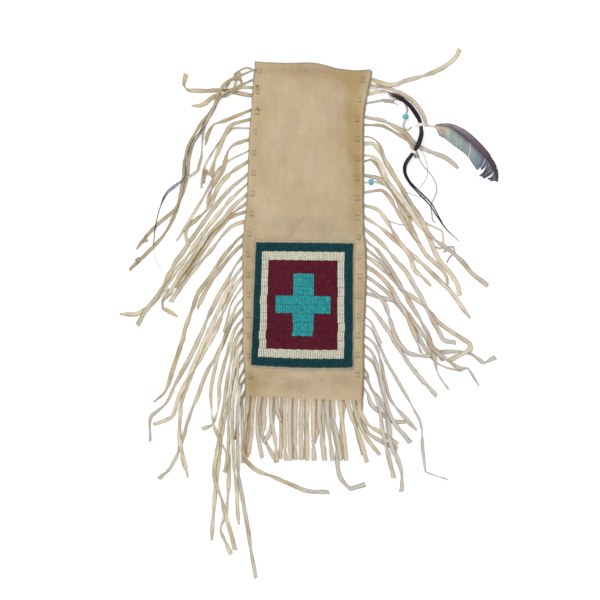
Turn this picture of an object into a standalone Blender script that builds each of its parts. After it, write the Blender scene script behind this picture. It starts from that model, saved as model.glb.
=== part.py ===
# A hide pipe bag lying flat, with laced thong fringe, a bead panel, a horsehair lock and a feather.
# Lengths are in millimetres; MM turns them into metres when a mesh is made.
# +X is to the right, +Y towards the mouth, +Z up; the origin is the middle of the bag on its back face.

import math

import bmesh
import bpy
from mathutils import Vector
from mathutils.geometry import delaunay_2d_cdt

MM = 0.001

# Driving sizes of the bag
BAG_WIDTH = 146.0
BODY_LENGTH = 414.0
HIDE = 1.2
CLEAR = 0.3
POCKET_RISE = 6.0
MIDDLE_RISE = 8.0
MOUTH_RISE = 10.0
CROWN_INSET = 18.0
BACK_SHIFT = 1.5
BACK_MOUTH_DROP = 2.0

# Lacing thongs and the slits they pass through
THONGS_PER_SIDE = 16
THONG_WIDTH = 5.2
THONG_THICK = 1.1
STITCH_INSET = 7.0
STITCH_LENGTH = 5.0
SLIT_LENGTH = 5.8
SLIT_OPENING = 1.7
TURN_OFFSET = 5.8
EXIT_REACH = 1.5
TOP_INSETS = {-1: 9.0, 1: 20.0}
END_INSETS = {-1: 24.0, 1: 26.0}
SETTLE_STEP = 6.0
SETTLE_ROUNDS = 300

# Fringe cut from the panels' lower ends
STRAND_WIDTH = 5.6
ROOT_TILT = 6.0
ROOT_SAG = 1.2

# Bead panel
BEADWORK_WIDTH = 121.0
LANES = 14
LANE_PITCH = 11.1
BEAD_RISE = 36.2
BEAD_SHIFT = -4.7
BORDER_LEFT = 8.0
BORDER_RIGHT = 9.7
CREAM_WIDTH = 8.8
CROSS_SHIFT = -0.3
TRUNK_WIDTH = 23.7
ARM_SPAN = 67.0
BEAD_HEIGHT = 1.6
LANE_CREST = 0.6
FIELD_GAP = 0.3
BACKING_SIDE = 0.6
BACKING_END = 2.0

# Things tied to the thongs
TIE_OUTSIDE = 6.2
TIE_LENGTH = 2.2
PONY_BEAD = 7.6
PONY_LENGTH = 6.0
PONY_HOLE = 3.4
SHAFT_THICK = 1.6
VANE_THICK = 0.5
QUILL_THICK = 0.8
QUILL_WIDTH = 3.0
BEAD_THONG_WIDTH = 3.0

# Heights and places that follow from the sizes above
MOUTH_Y = BODY_LENGTH / 2
LIFT = THONG_THICK + CLEAR
MARGIN = STITCH_INSET + SLIT_LENGTH / 2
BACK_RAMP = 10.0
BODY_END = -MOUTH_Y + 1
FULL_HEIGHT_END = -MOUTH_Y + 24
LEG_TOP = LIFT + HIDE + CLEAR + HIDE + CLEAR + THONG_THICK / 2
CROWN_HALF = BAG_WIDTH / 2 - CROWN_INSET
BEAD_MIDDLE = -MOUTH_Y + BEAD_RISE + LANES * LANE_PITCH / 2
SLACK_START = -MOUTH_Y + BEAD_RISE + LANES * LANE_PITCH + 7.4
SLACK_FULL = MOUTH_Y - 87
ROWS = [MOUTH_Y - 42, SLACK_FULL, (SLACK_FULL + SLACK_START) / 2, SLACK_START, FULL_HEIGHT_END]

# How far each corner of the bead work stands off a plain rectangle, from its top left corner clockwise
BEAD_LEANS = [(1.6, -0.1), (1.7, -1.4), (1.2, -0.8), (-4.8, 2.2)]

# How far each edge stands outside the plain outline, by distance below the mouth
EDGE_CUTS = {
    -1: [(0, -8), (32, -5), (67, -3), (90, -0.5), (144, 1), (187, 3), (207, 6), (227, 8), (307, 7),
         (357, 8), (377, 6), (414, 4)],
    1: [(7, 7), (21, 4), (42, -0.5), (62, -3), (161, -3), (207, -2.5), (221, 0), (257, 0.5), (304, -1),
        (332, -2.5), (383, -2.5), (414, -4)],
}
# The bag that the tables are written for, and how far the driving sizes carry their points
EDGE_DATUM = 73.0
TABLE_LENGTH = EDGE_CUTS[-1][-1][0]
ACROSS = BAG_WIDTH / 2 / EDGE_DATUM
DOWN = BODY_LENGTH / TABLE_LENGTH
OUTWARD = BAG_WIDTH / 2 - EDGE_DATUM
UPWARD = MOUTH_Y - TABLE_LENGTH / 2
COLUMNS = [-CROWN_HALF, -43.0 * ACROSS, -21.5 * ACROSS, 0.0, 21.5 * ACROSS, 43.0 * ACROSS, CROWN_HALF]

# The mouth's edge: place across the bag, and how far it stands above the plain outline
MOUTH_CUT = [(-65, 3.5), (-57, 2.8), (-44, 1.7), (-23, 0.5), (0, 1), (14, 0), (37, -6), (61, -8), (69.5, -7.4),
             (80, -6.5)]

# Each thong's upper and lower tail, mouth down: (distance from the bag's middle line, height y, and, where
# they are not the usual ones, the strip's width and the height of its underside)
LEFT_TAILS = [
    ([(95, 187), (106, 177), (118, 152), (137, 126), (151, 96), (155, 62), (164, 27), (190, 4), (213, -24)],
     [(99, 179), (112, 158), (129, 129), (146, 96), (151, 62), (161, 29), (178, -4), (203, -31), (222, -50)]),
    ([(84, 177), (100, 168.5), (116, 166), (130, 157), (144, 155)],
     [(84, 170), (104, 174), (135, 174), (149, 174.5), (154, 181), (151, 195)]),
    ([(91, 141), (104, 136), (116, 132), (124, 120), (127, 106)],
     [(93, 131), (102, 121), (108, 104), (116, 84), (121, 67)]),
    ([(93, 126), (108, 112), (119, 96), (128, 78), (132, 52)],
     [(91, 111), (99, 97), (106, 74), (121, 47), (125, 31)]),
    ([(95, 88), (110, 76), (121, 57), (135, 31), (163, -14)],
     [(96, 77), (110, 54), (124, 27), (138, 13), (149, 4), (151, -7), (147, -20)]),
    ([(96, 54), (115, 29), (139, -4), (168, -47), (184, -78), (203, -103), (212, -119)],
     [(90, 47), (104, 28), (124, 3), (150, -33), (171, -62), (190, -89), (212, -105), (234, -105)]),
    ([(90, 35), (101, 17), (118, 0), (142, -33), (171, -76), (180, -89), (180, -98), (162, -108)],
     [(92, 24), (109, 2), (132, -28), (150, -56)]),
    ([(95, 16), (109, 8), (126, -14), (153, -58), (165, -72)],
     [(93, 8), (104, -5), (120, -25), (152, -64), (170, -90)]),
    ([(88, -11), (100, -28), (120, -55), (138, -84), (148, -112), (163, -160), (177, -202), (191, -215)],
     [(88, -22), (100, -38), (119, -64), (137, -98)]),
    ([(89, -41), (100, -64), (118, -96), (132, -130), (161, -186), (176, -216), (195, -233), (196, -264)],
     [(88, -52), (102, -82), (118, -118), (135, -155), (159, -207), (169, -233), (192, -243)]),
    ([(89, -66), (99, -87), (111, -119), (128, -150), (147, -186), (157, -216), (159, -262), (154, -288),
      (149, -309)],
     [(88, -77), (96, -96), (104, -128)]),
    ([(88, -91), (95, -112), (102, -132), (112, -160), (120, -200), (117, -240), (106, -267), (100, -282),
      (103, -303)],
     [(90, -107), (98, -126), (110, -152), (124, -176), (136, -205), (149, -240), (160, -275), (170, -297),
      (185, -311)]),
    ([(88, -117), (94, -136), (101, -158), (109, -190), (111, -222), (118, -243), (131, -249)],
     [(87, -129), (90, -144), (96, -168, 4.6), (101, -200, 4.6), (106, -232, 4.6), (113, -280), (115, -312),
      (105, -343), (96, -376), (90, -400)]),
    ([(87, -142), (89, -156, 4.6), (92, -178, 4.2), (96, -210, 4.2), (98, -245, 4.2), (98, -312), (101, -352),
      (108, -374), (100, -393), (95, -405)],
     [(85, -155, 4.6), (86, -168, 4.2), (88, -190, 4.2), (92, -225, 4.2), (93, -262, 4.2), (90, -305, 4.6),
      (85, -368)]),
    ([(85, -166, 4.6), (91, -184, 4.6), (97, -212, 4.6), (106, -252, 4.6), (110, -290), (118, -362), (119, -388)],
     [(84, -178, 4.6), (84, -196, 4.2), (86, -225, 4.2), (87, -262, 4.2), (85, -310), (76, -362), (64, -435)]),
    ([(82, -187, 4.6), (84, -204, 4.2), (87, -232, 4.2), (90, -262, 4.2)],
     [(82, -201, 4.6), (80.5, -222, 4.2), (80.5, -255, 4.2), (78, -284), (66, -298), (45, -307), (18, -319),
      (0, -326), (-28, -328)]),
]
RIGHT_TAILS = [
    ([(96, 181.5), (109, 181.5), (122, 187), (150, 194), (170, 203), (184, 214), (191, 226)],
     [(98, 178.5), (113, 173.5), (126, 166), (138, 155), (146, 142), (149.5, 130.3, 3.5)]),
    ([(96, 173), (107, 170), (118, 163)],
     [(94, 162), (109, 160.5)]),
    ([(95, 136.5), (110, 129.5), (123, 121), (133, 109.5), (147, 101), (172, 90.5), (189, 77, 6.4)],
     [(95, 130), (112, 121), (128, 111), (138, 90)]),
    ([(82, 114.5, 3), (91, 105), (98, 88), (128, 37), (142, 14), (154, -7), (186, -31), (206, -54), (226, -70, 6.4)],
     [(82, 108), (90, 99), (101, 80), (130, 32), (144, 12, 3), (159, 4, 2.2), (169, -2, 2), (171, -20, 2)]),
    ([(80, 95.5, 3), (88, 86), (98, 66), (121, 33), (149, -6), (163, -33), (182, -58), (189, -70), (191, -82)],
     [(80, 88.5, 3), (89, 80), (99, 61), (113, 41), (129, 17)]),
    ([(92, 69), (104, 52), (118, 28), (138, -12), (149, -31), (163, -44), (173, -57, 3), (176, -68)],
     [(77, 59.6, 2.4, 3.25), (83, 60, 2.4, 3.25), (92, 58.5), (102, 54), (114, 40), (132, 12)]),
    ([(93, 50, 3.5), (102, 42), (109, 29), (119, 14), (143, -22)],
     [(89, 29), (97, 16), (112, -11), (128, -32), (134, -49), (146, -60), (155, -70)]),
    ([(96, 0), (112, -14), (128, -28), (168, -65), (188, -88), (204, -110)],
     [(91, -13), (105, -30), (122, -50), (136, -72), (161, -120), (171, -138), (186, -141)]),
    ([(91, -26, 4), (103, -46), (127, -88), (150, -127), (158, -147), (190, -173), (201, -173, 3), (215, -195, 3)],
     [(91, -34), (104, -54)]),
    ([(91, -43), (104, -58), (117, -74), (136, -86), (152, -101), (168, -118), (203, -142), (204, -149), (178, -163)],
     [(93, -55), (104, -72), (116, -92), (127, -113), (135, -132), (143, -154, 3)]),
    ([(95, -74), (112, -88), (127, -106), (149, -139), (159, -160), (163, -178, 2), (177, -199, 2)],
     [(83, -75), (97, -91), (103, -108), (113, -138), (127, -154), (148, -157), (172, -152.5), (204, -154),
      (221, -166), (236, -159)]),
    ([(82, -81), (98, -86), (113, -93), (124, -106), (144, -142), (157, -161, 3), (171, -171, 2.2), (194, -177, 2.2)],
     [(80, -95, 3), (91, -111), (118, -152), (134, -176), (162, -208)]),
    ([(79, -110, 3), (85, -126, 4), (92, -143, 4)],
     [(79, -119, 3), (84, -130, 4), (91, -145, 4.6), (101, -167, 4.6), (124, -207), (142, -243, 3.5), (145, -275),
      (148, -302, 2.4), (176, -312, 2.4)]),
    ([(80, -136, 4), (87, -148, 4.2), (93, -166, 4.2), (98, -190, 4.2), (105, -212, 4.2), (131, -244), (137, -250)],
     [(79, -146, 4), (84, -158, 4.2), (90, -178, 4.2), (98, -214, 4.2), (106, -236, 4.6), (129, -266)]),
    ([(79, -158, 4), (86, -172, 4.2), (93, -196, 4.2), (101, -230, 4.2), (103, -257)],
     [(75.5, -171, 4), (77, -191, 4.2), (86, -207, 4.2), (91, -226, 4.2), (93, -246, 4.2), (98, -268), (108, -310)]),
    ([(76, -184, 4), (82, -200, 4.2), (93, -214, 4.2), (100, -238, 4.2), (104, -264), (117, -300), (118, -327)],
     [(76, -199, 4), (80, -218), (95, -231), (109, -240), (123, -240)]),
]

# Fringe strands of each panel: middle of the root, then the points that the strand passes
FRONT_STRANDS = [
    (-73.5, [(-75.5, -232), (-79, -260), (-79.5, -291)]),
    (-66.4, [(-68.8, -232), (-69.8, -254), (-73, -280)]),
    (-59, [(-62, -232), (-61.5, -254), (-56, -285)]),
    (-52, [(-54, -226), (-53.5, -236), (-55, -251)]),
    (-45, [(-45, -232), (-40, -262), (-37, -289)]),
    (-37.8, [(-37, -226), (-32, -239)]),
    (-28.5, [(-28, -234), (-28, -264), (-26.5, -288)]),
    (-21.4, [(-21.8, -234), (-21.4, -264), (-20.4, -288)]),
    (-14.2, [(-14.8, -234), (-15, -262), (-14.2, -287)]),
    (-6.6, [(-7.6, -240), (-7.8, -287)]),
    (0.6, [(0, -240), (0.4, -288)]),
    (7.8, [(8, -240), (8, -264), (9, -288)]),
    (15.4, [(15, -234), (18, -256), (22, -288)]),
    (24.5, [(26, -240), (29, -264), (32, -288)]),
    (32.4, [(34, -240), (39, -266), (42, -288)]),
    (41, [(44, -240), (47, -266), (49, -288)]),
    (49.6, [(56, -234), (64, -254), (75, -290)]),
    (57.4, [(64, -238), (74, -259), (91, -281)]),
    (64.8, [(67, -228), (76, -243), (97, -256), (113, -268)]),
]
BACK_STRANDS = [
    (-71, [(-72.5, -240), (-75, -266), (-75, -284)]),
    (-55.5, [(-59, -232), (-57, -254), (-47, -274), (-38, -291)]),
    (-42, [(-43, -236), (-46, -252), (-54, -266)]),
    (-32, [(-32, -240), (-32, -264), (-34, -286)]),
    (-18, [(-19, -246), (-19, -286)]),
    (-2, [(-1, -246), (-2, -286)]),
    (11, [(11.5, -236), (13, -248), (8, -266)]),
    (20, [(20, -246), (22, -287)]),
    (29, [(32, -240), (37, -268), (38, -292), (42, -310), (54, -323), (73, -318)]),
    (45, [(43, -250), (44, -286)]),
    (58, [(61, -244), (70, -281)]),
    (66, [(68, -232), (76, -253), (94, -265), (113, -274)]),
]

# Single pieces that lie on the thongs, in the bag's own frame: (x, y, width, height of the underside)
SPARE_THONG = [(-98, 173.5), (-107, 167), (-118, 149), (-128, 127), (-131, 102), (-136, 76), (-150, 65)]
BLUE_QUILL = [(-122, 136), (-129, 127), (-139, 117), (-150, 93), (-153, 66), (-166, 54), (-175, 46, 2.4),
              (-183, 30, 1.2), (-189, 4, 1.2), (-192, -19, 1.2)]
BEAD_THONG = [(116, 164.5, 3), (122, 158.5, 3), (125, 151, 3), (123.9, 145.5, 2.4, 3.25), (122.4, 137, 2.4, 3.25),
              (120, 131, 3.6), (121, 126.5, 2.4), (126, 124.5, 2.2), (131, 129, 2.2)]
UPPER_BEAD_AT = 3
LOWER_BEAD_AT = 1
LOWER_BEAD_THONG = 6
HAIR = [(102, 170.5, 2.6), (112, 166.5, 4.4), (121, 161.5, 5), (130, 153, 5.4), (138, 142, 6), (141.5, 134, 4.4),
        (142.3, 128.5, 4.4), (142.6, 119, 6), (139, 107, 6.4), (135, 100, 4.4), (131.2, 94.6, 4.4), (123, 82, 5.4),
        (122.5, 71, 5), (129, 59, 4.6), (141, 46.5, 4.4), (155, 32, 3.6), (165, 15, 2.2), (174, 1, 1.4),
        (190, -14, 0.9)]
HAIR_TIES = [("upper", 5), ("lower", 9)]

# The feather: a point on its shaft, then how far the outer and the inner vane stand off it
FEATHER = [(146.5, 131, 0.9, 0.9), (156, 129.6, 1.1, 1.1), (160, 129.2, 2.6, 9.5), (170, 128.8, 4.6, 13),
           (179, 127, 6, 15), (187, 122.5, 7.5, 16), (194, 118, 8.2, 16.5), (200, 113, 8.4, 16),
           (204.6, 108.9, 8.4, 15.5), (206.6, 107.1, 8.4, 3.6), (208.8, 105, 8.3, 15), (215, 98.8, 8, 16),
           (220, 93.3, 7.8, 16.6), (222.8, 90, 7.6, 7.5), (225.6, 86.6, 7.4, 16.6), (230, 80.3, 6.8, 15.5),
           (233, 74.6, 5.8, 12), (234.7, 70.4, 4.6, 4.4), (236, 65.6, 2.8, 5.4), (235.4, 60.5, 1, 1.6)]

# Bead fields in lanes: corners as (distance from the left side, lanes below the top), and the colour
TRUNK_LEFT = BEADWORK_WIDTH / 2 + CROSS_SHIFT - TRUNK_WIDTH / 2
TRUNK_RIGHT = TRUNK_LEFT + TRUNK_WIDTH
ARMS_LEFT = BEADWORK_WIDTH / 2 + CROSS_SHIFT - ARM_SPAN / 2
ARMS_RIGHT = ARMS_LEFT + ARM_SPAN
INNER_RIGHT = BEADWORK_WIDTH - BORDER_RIGHT
GROUND_LEFT = BORDER_LEFT + CREAM_WIDTH
GROUND_RIGHT = INNER_RIGHT - CREAM_WIDTH
OUTER = [(0, 0), (BEADWORK_WIDTH, 0), (BEADWORK_WIDTH, 14), (0, 14)]
INNER = [(BORDER_LEFT, 1), (INNER_RIGHT, 1), (INNER_RIGHT, 13), (BORDER_LEFT, 13)]
GROUND = [(GROUND_LEFT, 2), (GROUND_RIGHT, 2), (GROUND_RIGHT, 12), (GROUND_LEFT, 12)]
CROSS = [(TRUNK_LEFT, 3.5), (TRUNK_RIGHT, 3.5), (TRUNK_RIGHT, 6), (ARMS_RIGHT, 6), (ARMS_RIGHT, 8),
         (TRUNK_RIGHT, 8), (TRUNK_RIGHT, 10.5), (TRUNK_LEFT, 10.5), (TRUNK_LEFT, 8), (ARMS_LEFT, 8),
         (ARMS_LEFT, 6), (TRUNK_LEFT, 6)]
FIELDS = [("teal_border", [OUTER, INNER], (0.012, 0.072, 0.085)),
          ("cream_border", [INNER, GROUND], (0.60, 0.58, 0.46)),
          ("maroon_field", [GROUND, CROSS], (0.115, 0.018, 0.026)),
          ("turquoise_cross", [CROSS], (0.04, 0.33, 0.33))]

TAN = (0.56, 0.41, 0.24)
TAN_BACK = (0.50, 0.38, 0.24)
THONG_TAN = (0.55, 0.42, 0.26)
BLACK = (0.012, 0.011, 0.012)
WHITE = (0.78, 0.76, 0.70)
TURQUOISE = (0.03, 0.30, 0.34)
BLUE_BLACK = (0.035, 0.040, 0.085)
FEATHER_GREY = (0.30, 0.36, 0.36)


def clamp(share):
    return min(max(share, 0.0), 1.0)


def along(table, distance):
    """Reads a list of (distance, value) pairs, straight between the pairs."""
    if distance <= table[0][0]:
        return table[0][1]
    for (d0, v0), (d1, v1) in zip(table, table[1:]):
        if distance <= d1:
            return v0 + (v1 - v0) * (distance - d0) / (d1 - d0)
    return table[-1][1]


# Outline and heights of the two panels

def edge_x(side, y):
    """The x of the bag's left (-1) or right (+1) cut edge at height y."""
    return side * (BAG_WIDTH / 2 + along(EDGE_CUTS[side], (MOUTH_Y - y) / DOWN))


def root_y(x):
    """Height of the line that the fringe is cut up to."""
    half = BAG_WIDTH / 2
    return -MOUTH_Y - ROOT_TILT * (x + half) / BAG_WIDTH - ROOT_SAG * (1 - (x / half) ** 2)


def stitch_y(side, number, length=BODY_LENGTH):
    pitch = (length - TOP_INSETS[side] - END_INSETS[side]) / (THONGS_PER_SIDE - 1)
    return length / 2 - TOP_INSETS[side] - pitch * number


def stitch_x(side, number):
    return edge_x(side, stitch_y(side, number)) - side * STITCH_INSET


def margin_share(x, y):
    """1 along the laced margins, 0 in the middle of the bag."""
    inset = min(x - edge_x(-1, y), edge_x(1, y) - x)
    return clamp((MARGIN + BACK_RAMP - inset) / BACK_RAMP)


def crown(x, y):
    """How far the front panel bulges over the pocket."""
    if y > SLACK_FULL:
        rise = MIDDLE_RISE + (MOUTH_RISE - MIDDLE_RISE) * clamp((y - SLACK_FULL) / (MOUTH_Y - SLACK_FULL))
    elif y > SLACK_START:
        rise = POCKET_RISE + (MIDDLE_RISE - POCKET_RISE) * (y - SLACK_START) / (SLACK_FULL - SLACK_START)
    else:
        rise = POCKET_RISE * clamp((y - BODY_END) / (FULL_HEIGHT_END - BODY_END))
    return rise * max(0.0, 1 - (x / CROWN_HALF) ** 2)


def back_under(x, y):
    return LIFT * margin_share(x, y)


def back_over(x, y):
    return back_under(x, y) + HIDE


def front_under(x, y):
    body = clamp((y - BODY_END) / (FULL_HEIGHT_END - BODY_END))
    spare = CLEAR * (1 - body)
    return HIDE + CLEAR + spare + LIFT * max(margin_share(x, y), body) + crown(x, y)


def front_over(x, y):
    return front_under(x, y) + HIDE


def backing_under(x, y):
    heights = [(column, crown(column, BEAD_MIDDLE)) for column in COLUMNS]
    return HIDE + CLEAR + LIFT + along(heights, x) + HIDE + CLEAR


def backing_over(x, y):
    return backing_under(x, y) + HIDE


# Flat and bulged slabs of hide or bead work

def inside(point, loop):
    """Even-odd test of a point against a closed outline."""
    hit = False
    x, y = point
    for (x0, y0), (x1, y1) in zip(loop, loop[1:] + loop[:1]):
        if (y0 > y) != (y1 > y) and x < x0 + (y - y0) * (x1 - x0) / (y1 - y0):
            hit = not hit
    return hit


def in_material(point, loops):
    return inside(point, loops[0]) and not any(inside(point, loop) for loop in loops[1:])


def distance_to(point, loops):
    """Distance from a point to the nearest edge of an outline."""
    best = 1e9
    spot = Vector(point)
    for loop in loops:
        for p, q in zip(loop, loop[1:] + loop[:1]):
            start = Vector(p)
            run = Vector(q) - start
            share = clamp((spot - start).dot(run) / max(run.length_squared, 1e-12))
            best = min(best, (spot - start - run * share).length)
    return best


def triangles(loops, points, lines):
    """Triangles over an outline with holes; numbers count the loops' points first, then the others."""
    flat = [point for loop in loops for point in loop] + list(points)
    edges = list(lines)
    first = 0
    for loop in loops:
        count = len(loop)
        edges += [(first + i, first + (i + 1) % count) for i in range(count)]
        first += count
    made = delaunay_2d_cdt([Vector(p) for p in flat], edges, [], 0, 1e-6)
    source = [origins[0] for origins in made[3]]
    found = []
    for face in made[2]:
        corners = [source[i] for i in face]
        middle = (sum(flat[i][0] for i in corners) / 3, sum(flat[i][1] for i in corners) / 3)
        if in_material(middle, loops):
            found.append(corners)
    return found


def slab(loops, under, over, points=(), lines=(), under_points=(), under_lines=(), place=None, open_edges=()):
    """A skin closed round a sheet. Heights come from the under and over functions of (x, y)."""
    body = bmesh.new()
    put = place or (lambda x, y: (x, y))
    rim = [point for loop in loops for point in loop]
    tops = []
    for x, y in rim + list(points):
        wx, wy = put(x, y)
        tops.append(body.verts.new((wx, wy, over(x, y, wx) if place else over(wx, wy))))
    lows = []
    for x, y in rim + list(under_points):
        wx, wy = put(x, y)
        lows.append(body.verts.new((wx, wy, under(wx, wy))))
    for corners in triangles(loops, points, lines):
        body.faces.new([tops[i] for i in corners])
    for corners in triangles(loops, under_points, under_lines):
        body.faces.new([lows[i] for i in reversed(corners)])
    first = 0
    for loop in loops:
        count = len(loop)
        for i in range(count):
            a = first + i
            b = first + (i + 1) % count
            if (a, b) not in open_edges:
                body.faces.new((tops[a], tops[b], lows[b], lows[a]))
        first += count
    return body, tops, lows


def finish(body, name, colour, roughness=0.85):
    """Turns a mesh in millimetres into one object of its own material."""
    bmesh.ops.triangulate(body, faces=body.faces[:])
    bmesh.ops.recalc_face_normals(body, faces=body.faces[:])
    for vertex in body.verts:
        vertex.co = vertex.co * MM
    mesh = bpy.data.meshes.new(name)
    body.to_mesh(mesh)
    body.free()
    finish_of = bpy.data.materials.new(name)
    finish_of.use_nodes = True
    shader = finish_of.node_tree.nodes["Principled BSDF"]
    shader.inputs["Base Color"].default_value = (*colour, 1.0)
    shader.inputs["Roughness"].default_value = roughness
    mesh.materials.append(finish_of)
    piece = bpy.data.objects.new(name, mesh)
    bpy.context.scene.collection.objects.link(piece)
    return piece


# Strips laid one over another

class Ring:
    """One cross-section of a laid strip: its two ends in plan, its underside and its height."""

    def __init__(self, x, y, width, height, z=None):
        self.x = x
        self.y = y
        self.width = width
        self.height = height
        self.held = z is not None
        self.z = z or 0.0
        self.ends = None

    def section(self):
        """Four corners: under at the first end, under at the second, over at the second, over at the first."""
        (x0, y0), (x1, y1) = self.ends
        top = self.z + self.height
        return [(x0, y0, self.z), (x1, y1, self.z), (x1, y1, top), (x0, y0, top)]


def unit(x, y):
    size = math.hypot(x, y) or 1.0
    return x / size, y / size


def set_ends(rings, before=None):
    """Sets each ring square to the run, mitred at the bends; `before` is the point the strip comes from."""
    spots = [(ring.x, ring.y) for ring in rings]
    for i, ring in enumerate(rings):
        back = spots[i - 1] if i else before
        ahead = spots[i + 1] if i + 1 < len(spots) else None
        into = unit(ring.x - back[0], ring.y - back[1]) if back else None
        out = unit(ahead[0] - ring.x, ahead[1] - ring.y) if ahead else into
        into = into or out
        nx = -(into[1] + out[1])
        ny = into[0] + out[0]
        share = max(1 + into[0] * out[0] + into[1] * out[1], 1.2)
        ax = nx / share * ring.width / 2
        ay = ny / share * ring.width / 2
        ring.ends = ((ring.x - ax, ring.y - ay), (ring.x + ax, ring.y + ay))


def plan(first, second):
    """Plan shape of the strip between two sections, with its bounding box."""
    shape = [first[0], first[1], second[1], second[0]]
    xs = [p[0] for p in shape]
    ys = [p[1] for p in shape]
    return shape, (min(xs) - CLEAR, min(ys) - CLEAR, max(xs) + CLEAR, max(ys) + CLEAR)


def crossing(one, other):
    """True where two plan shapes come nearer than the clearance."""
    (shape, box), (shape2, box2) = one, other
    if box[0] > box2[2] or box2[0] > box[2] or box[1] > box2[3] or box2[1] > box[3]:
        return False
    for edge_of in (shape, shape2):
        for (x0, y0), (x1, y1) in zip(edge_of, edge_of[1:] + edge_of[:1]):
            nx, ny = unit(y1 - y0, x0 - x1)
            if not (nx or ny):
                continue
            a = [nx * x + ny * y for x, y in shape]
            b = [nx * x + ny * y for x, y in shape2]
            if min(a) - max(b) > CLEAR or min(b) - max(a) > CLEAR:
                return False
    return True


LAID = []


def mix(first, second, share):
    return tuple(a + (b - a) * share for a, b in zip(first, second))


def pieces_of(first, second, tops, owner):
    """Cuts a stretch of strip between two sections into short pieces, each with its own highest point."""
    (x0, y0), (x1, y1) = mix(first[0], first[1], 0.5), mix(second[0], second[1], 0.5)
    count = max(1, math.ceil(math.hypot(x1 - x0, y1 - y0) / SETTLE_STEP))
    made = []
    for i in range(count):
        s0, s1 = i / count, (i + 1) / count
        near = [mix(a, b, s0) for a, b in zip(first, second)]
        far = [mix(a, b, s1) for a, b in zip(first, second)]
        top = max(tops[0] + (tops[1] - tops[0]) * s for s in (s0, s1))
        made.append((plan(near, far), s0, s1, top, owner))
    return made


def lay_down(first, second, top, owner):
    LAID.extend(pieces_of(first, second, (top, top), owner))


def rules_for(rings, owner):
    """What a strip has to clear: (shares of the ring heights, least value), one for each place."""
    runs = []
    for i, (a, b) in enumerate(zip(rings, rings[1:])):
        for shape, s0, s1, _, _ in pieces_of(a.ends, b.ends, (0, 0), owner):
            below = [laid[3] for laid in LAID if laid[4] != owner and crossing(shape, laid[0])]
            runs.append((i, shape, s0, s1, max(below) + CLEAR if below else 0.0))
    rules = [({i: 1.0}, 0.0) for i in range(len(rings))]
    for i, shape, s0, s1, floor in runs:
        for s in (s0, s1):
            if floor:
                rules.append(({i: 1 - s, i + 1: s}, floor))
            for j, other, t0, t1, _ in runs:
                if j < i - 1 and crossing(shape, other):
                    for t in (t0, t1):
                        rules.append(({i: 1 - s, i + 1: s, j: t - 1, j + 1: -t}, rings[j].height + CLEAR))
    return rules


def settle(rings, owner):
    """Finds the lowest lie of a strip's free rings that clears all that is under it, then lays it down."""
    rules = rules_for(rings, owner)
    pushes = [0.0] * len(rules)
    for _ in range(SETTLE_ROUNDS):
        for k, (shares, least) in enumerate(rules):
            free = {i: share for i, share in shares.items() if not rings[i].held}
            weight = sum(share * share for share in free.values())
            if weight < 1e-3:
                continue
            value = sum(share * rings[i].z for i, share in shares.items())
            push = max(0.0, pushes[k] + (least - value) / weight)
            for i, share in free.items():
                rings[i].z += (push - pushes[k]) * share
            pushes[k] = push
    for ring in rings:
        ring.z = max(ring.z, 0.0)
    for a, b in zip(rings, rings[1:]):
        LAID.extend(pieces_of(a.ends, b.ends, (a.z + a.height, b.z + b.height), owner))


def loft(body, sections):
    """Skin over a run of sections with the same number of corners, closed at both ends."""
    rows = [[body.verts.new(corner) for corner in section] for section in sections]
    skin_between(body, rows)
    body.faces.new(rows[0])
    body.faces.new(list(reversed(rows[-1])))
    return rows


def skin_between(body, rows):
    count = len(rows[0])
    for low, high in zip(rows, rows[1:]):
        for i in range(count):
            j = (i + 1) % count
            body.faces.new((low[i], low[j], high[j], high[i]))


def moved(points, right, up):
    """A route's points, each carried as far as the place that it hangs from."""
    return [(point[0] + right, point[1] + up, *point[2:]) for point in points]


def strip_rings(points, width, height):
    rings = []
    for point in points:
        wide = point[2] if len(point) > 2 else width
        under = point[3] if len(point) > 3 else None
        rings.append(Ring(point[0], point[1], wide, height, under))
    return rings


# Panels

def slit_loops():
    """The slits for every lacing thong, each as a small hole, run clockwise."""
    holes = []
    for side in (-1, 1):
        for number in range(THONGS_PER_SIDE):
            x = stitch_x(side, number)
            for leg in (STITCH_LENGTH / 2, -STITCH_LENGTH / 2):
                y = stitch_y(side, number) + leg
                x0, x1 = x - SLIT_LENGTH / 2, x + SLIT_LENGTH / 2
                y0, y1 = y - SLIT_OPENING / 2, y + SLIT_OPENING / 2
                holes.append([(x0, y0), (x0, y1), (x1, y1), (x1, y0)])
    return holes


def panel_outline(strands, shift, mouth_drop):
    """The panel's outline, anticlockwise from its lower left corner, and the numbers of its strand roots."""
    loop = [(edge_x(-1, root_y(-BAG_WIDTH / 2)) + shift, root_y(-BAG_WIDTH / 2))]
    roots = []
    for place, _ in strands:
        x = place * ACROSS
        roots.append(len(loop))
        loop.append((x - STRAND_WIDTH / 2, root_y(x)))
        loop.append((x + STRAND_WIDTH / 2, root_y(x)))
    corner = root_y(BAG_WIDTH / 2)
    loop.append((edge_x(1, corner) + shift, corner))
    for distance, _ in reversed(EDGE_CUTS[1][1:-1]):
        y = MOUTH_Y - distance * DOWN
        loop.append((edge_x(1, y) + shift, y))
    for x, above in reversed(MOUTH_CUT):
        loop.append((x * ACROSS + shift, MOUTH_Y + above - mouth_drop))
    for distance, _ in EDGE_CUTS[-1][1:-1]:
        y = MOUTH_Y - distance * DOWN
        loop.append((edge_x(-1, y) + shift, y))
    return loop, roots


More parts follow.
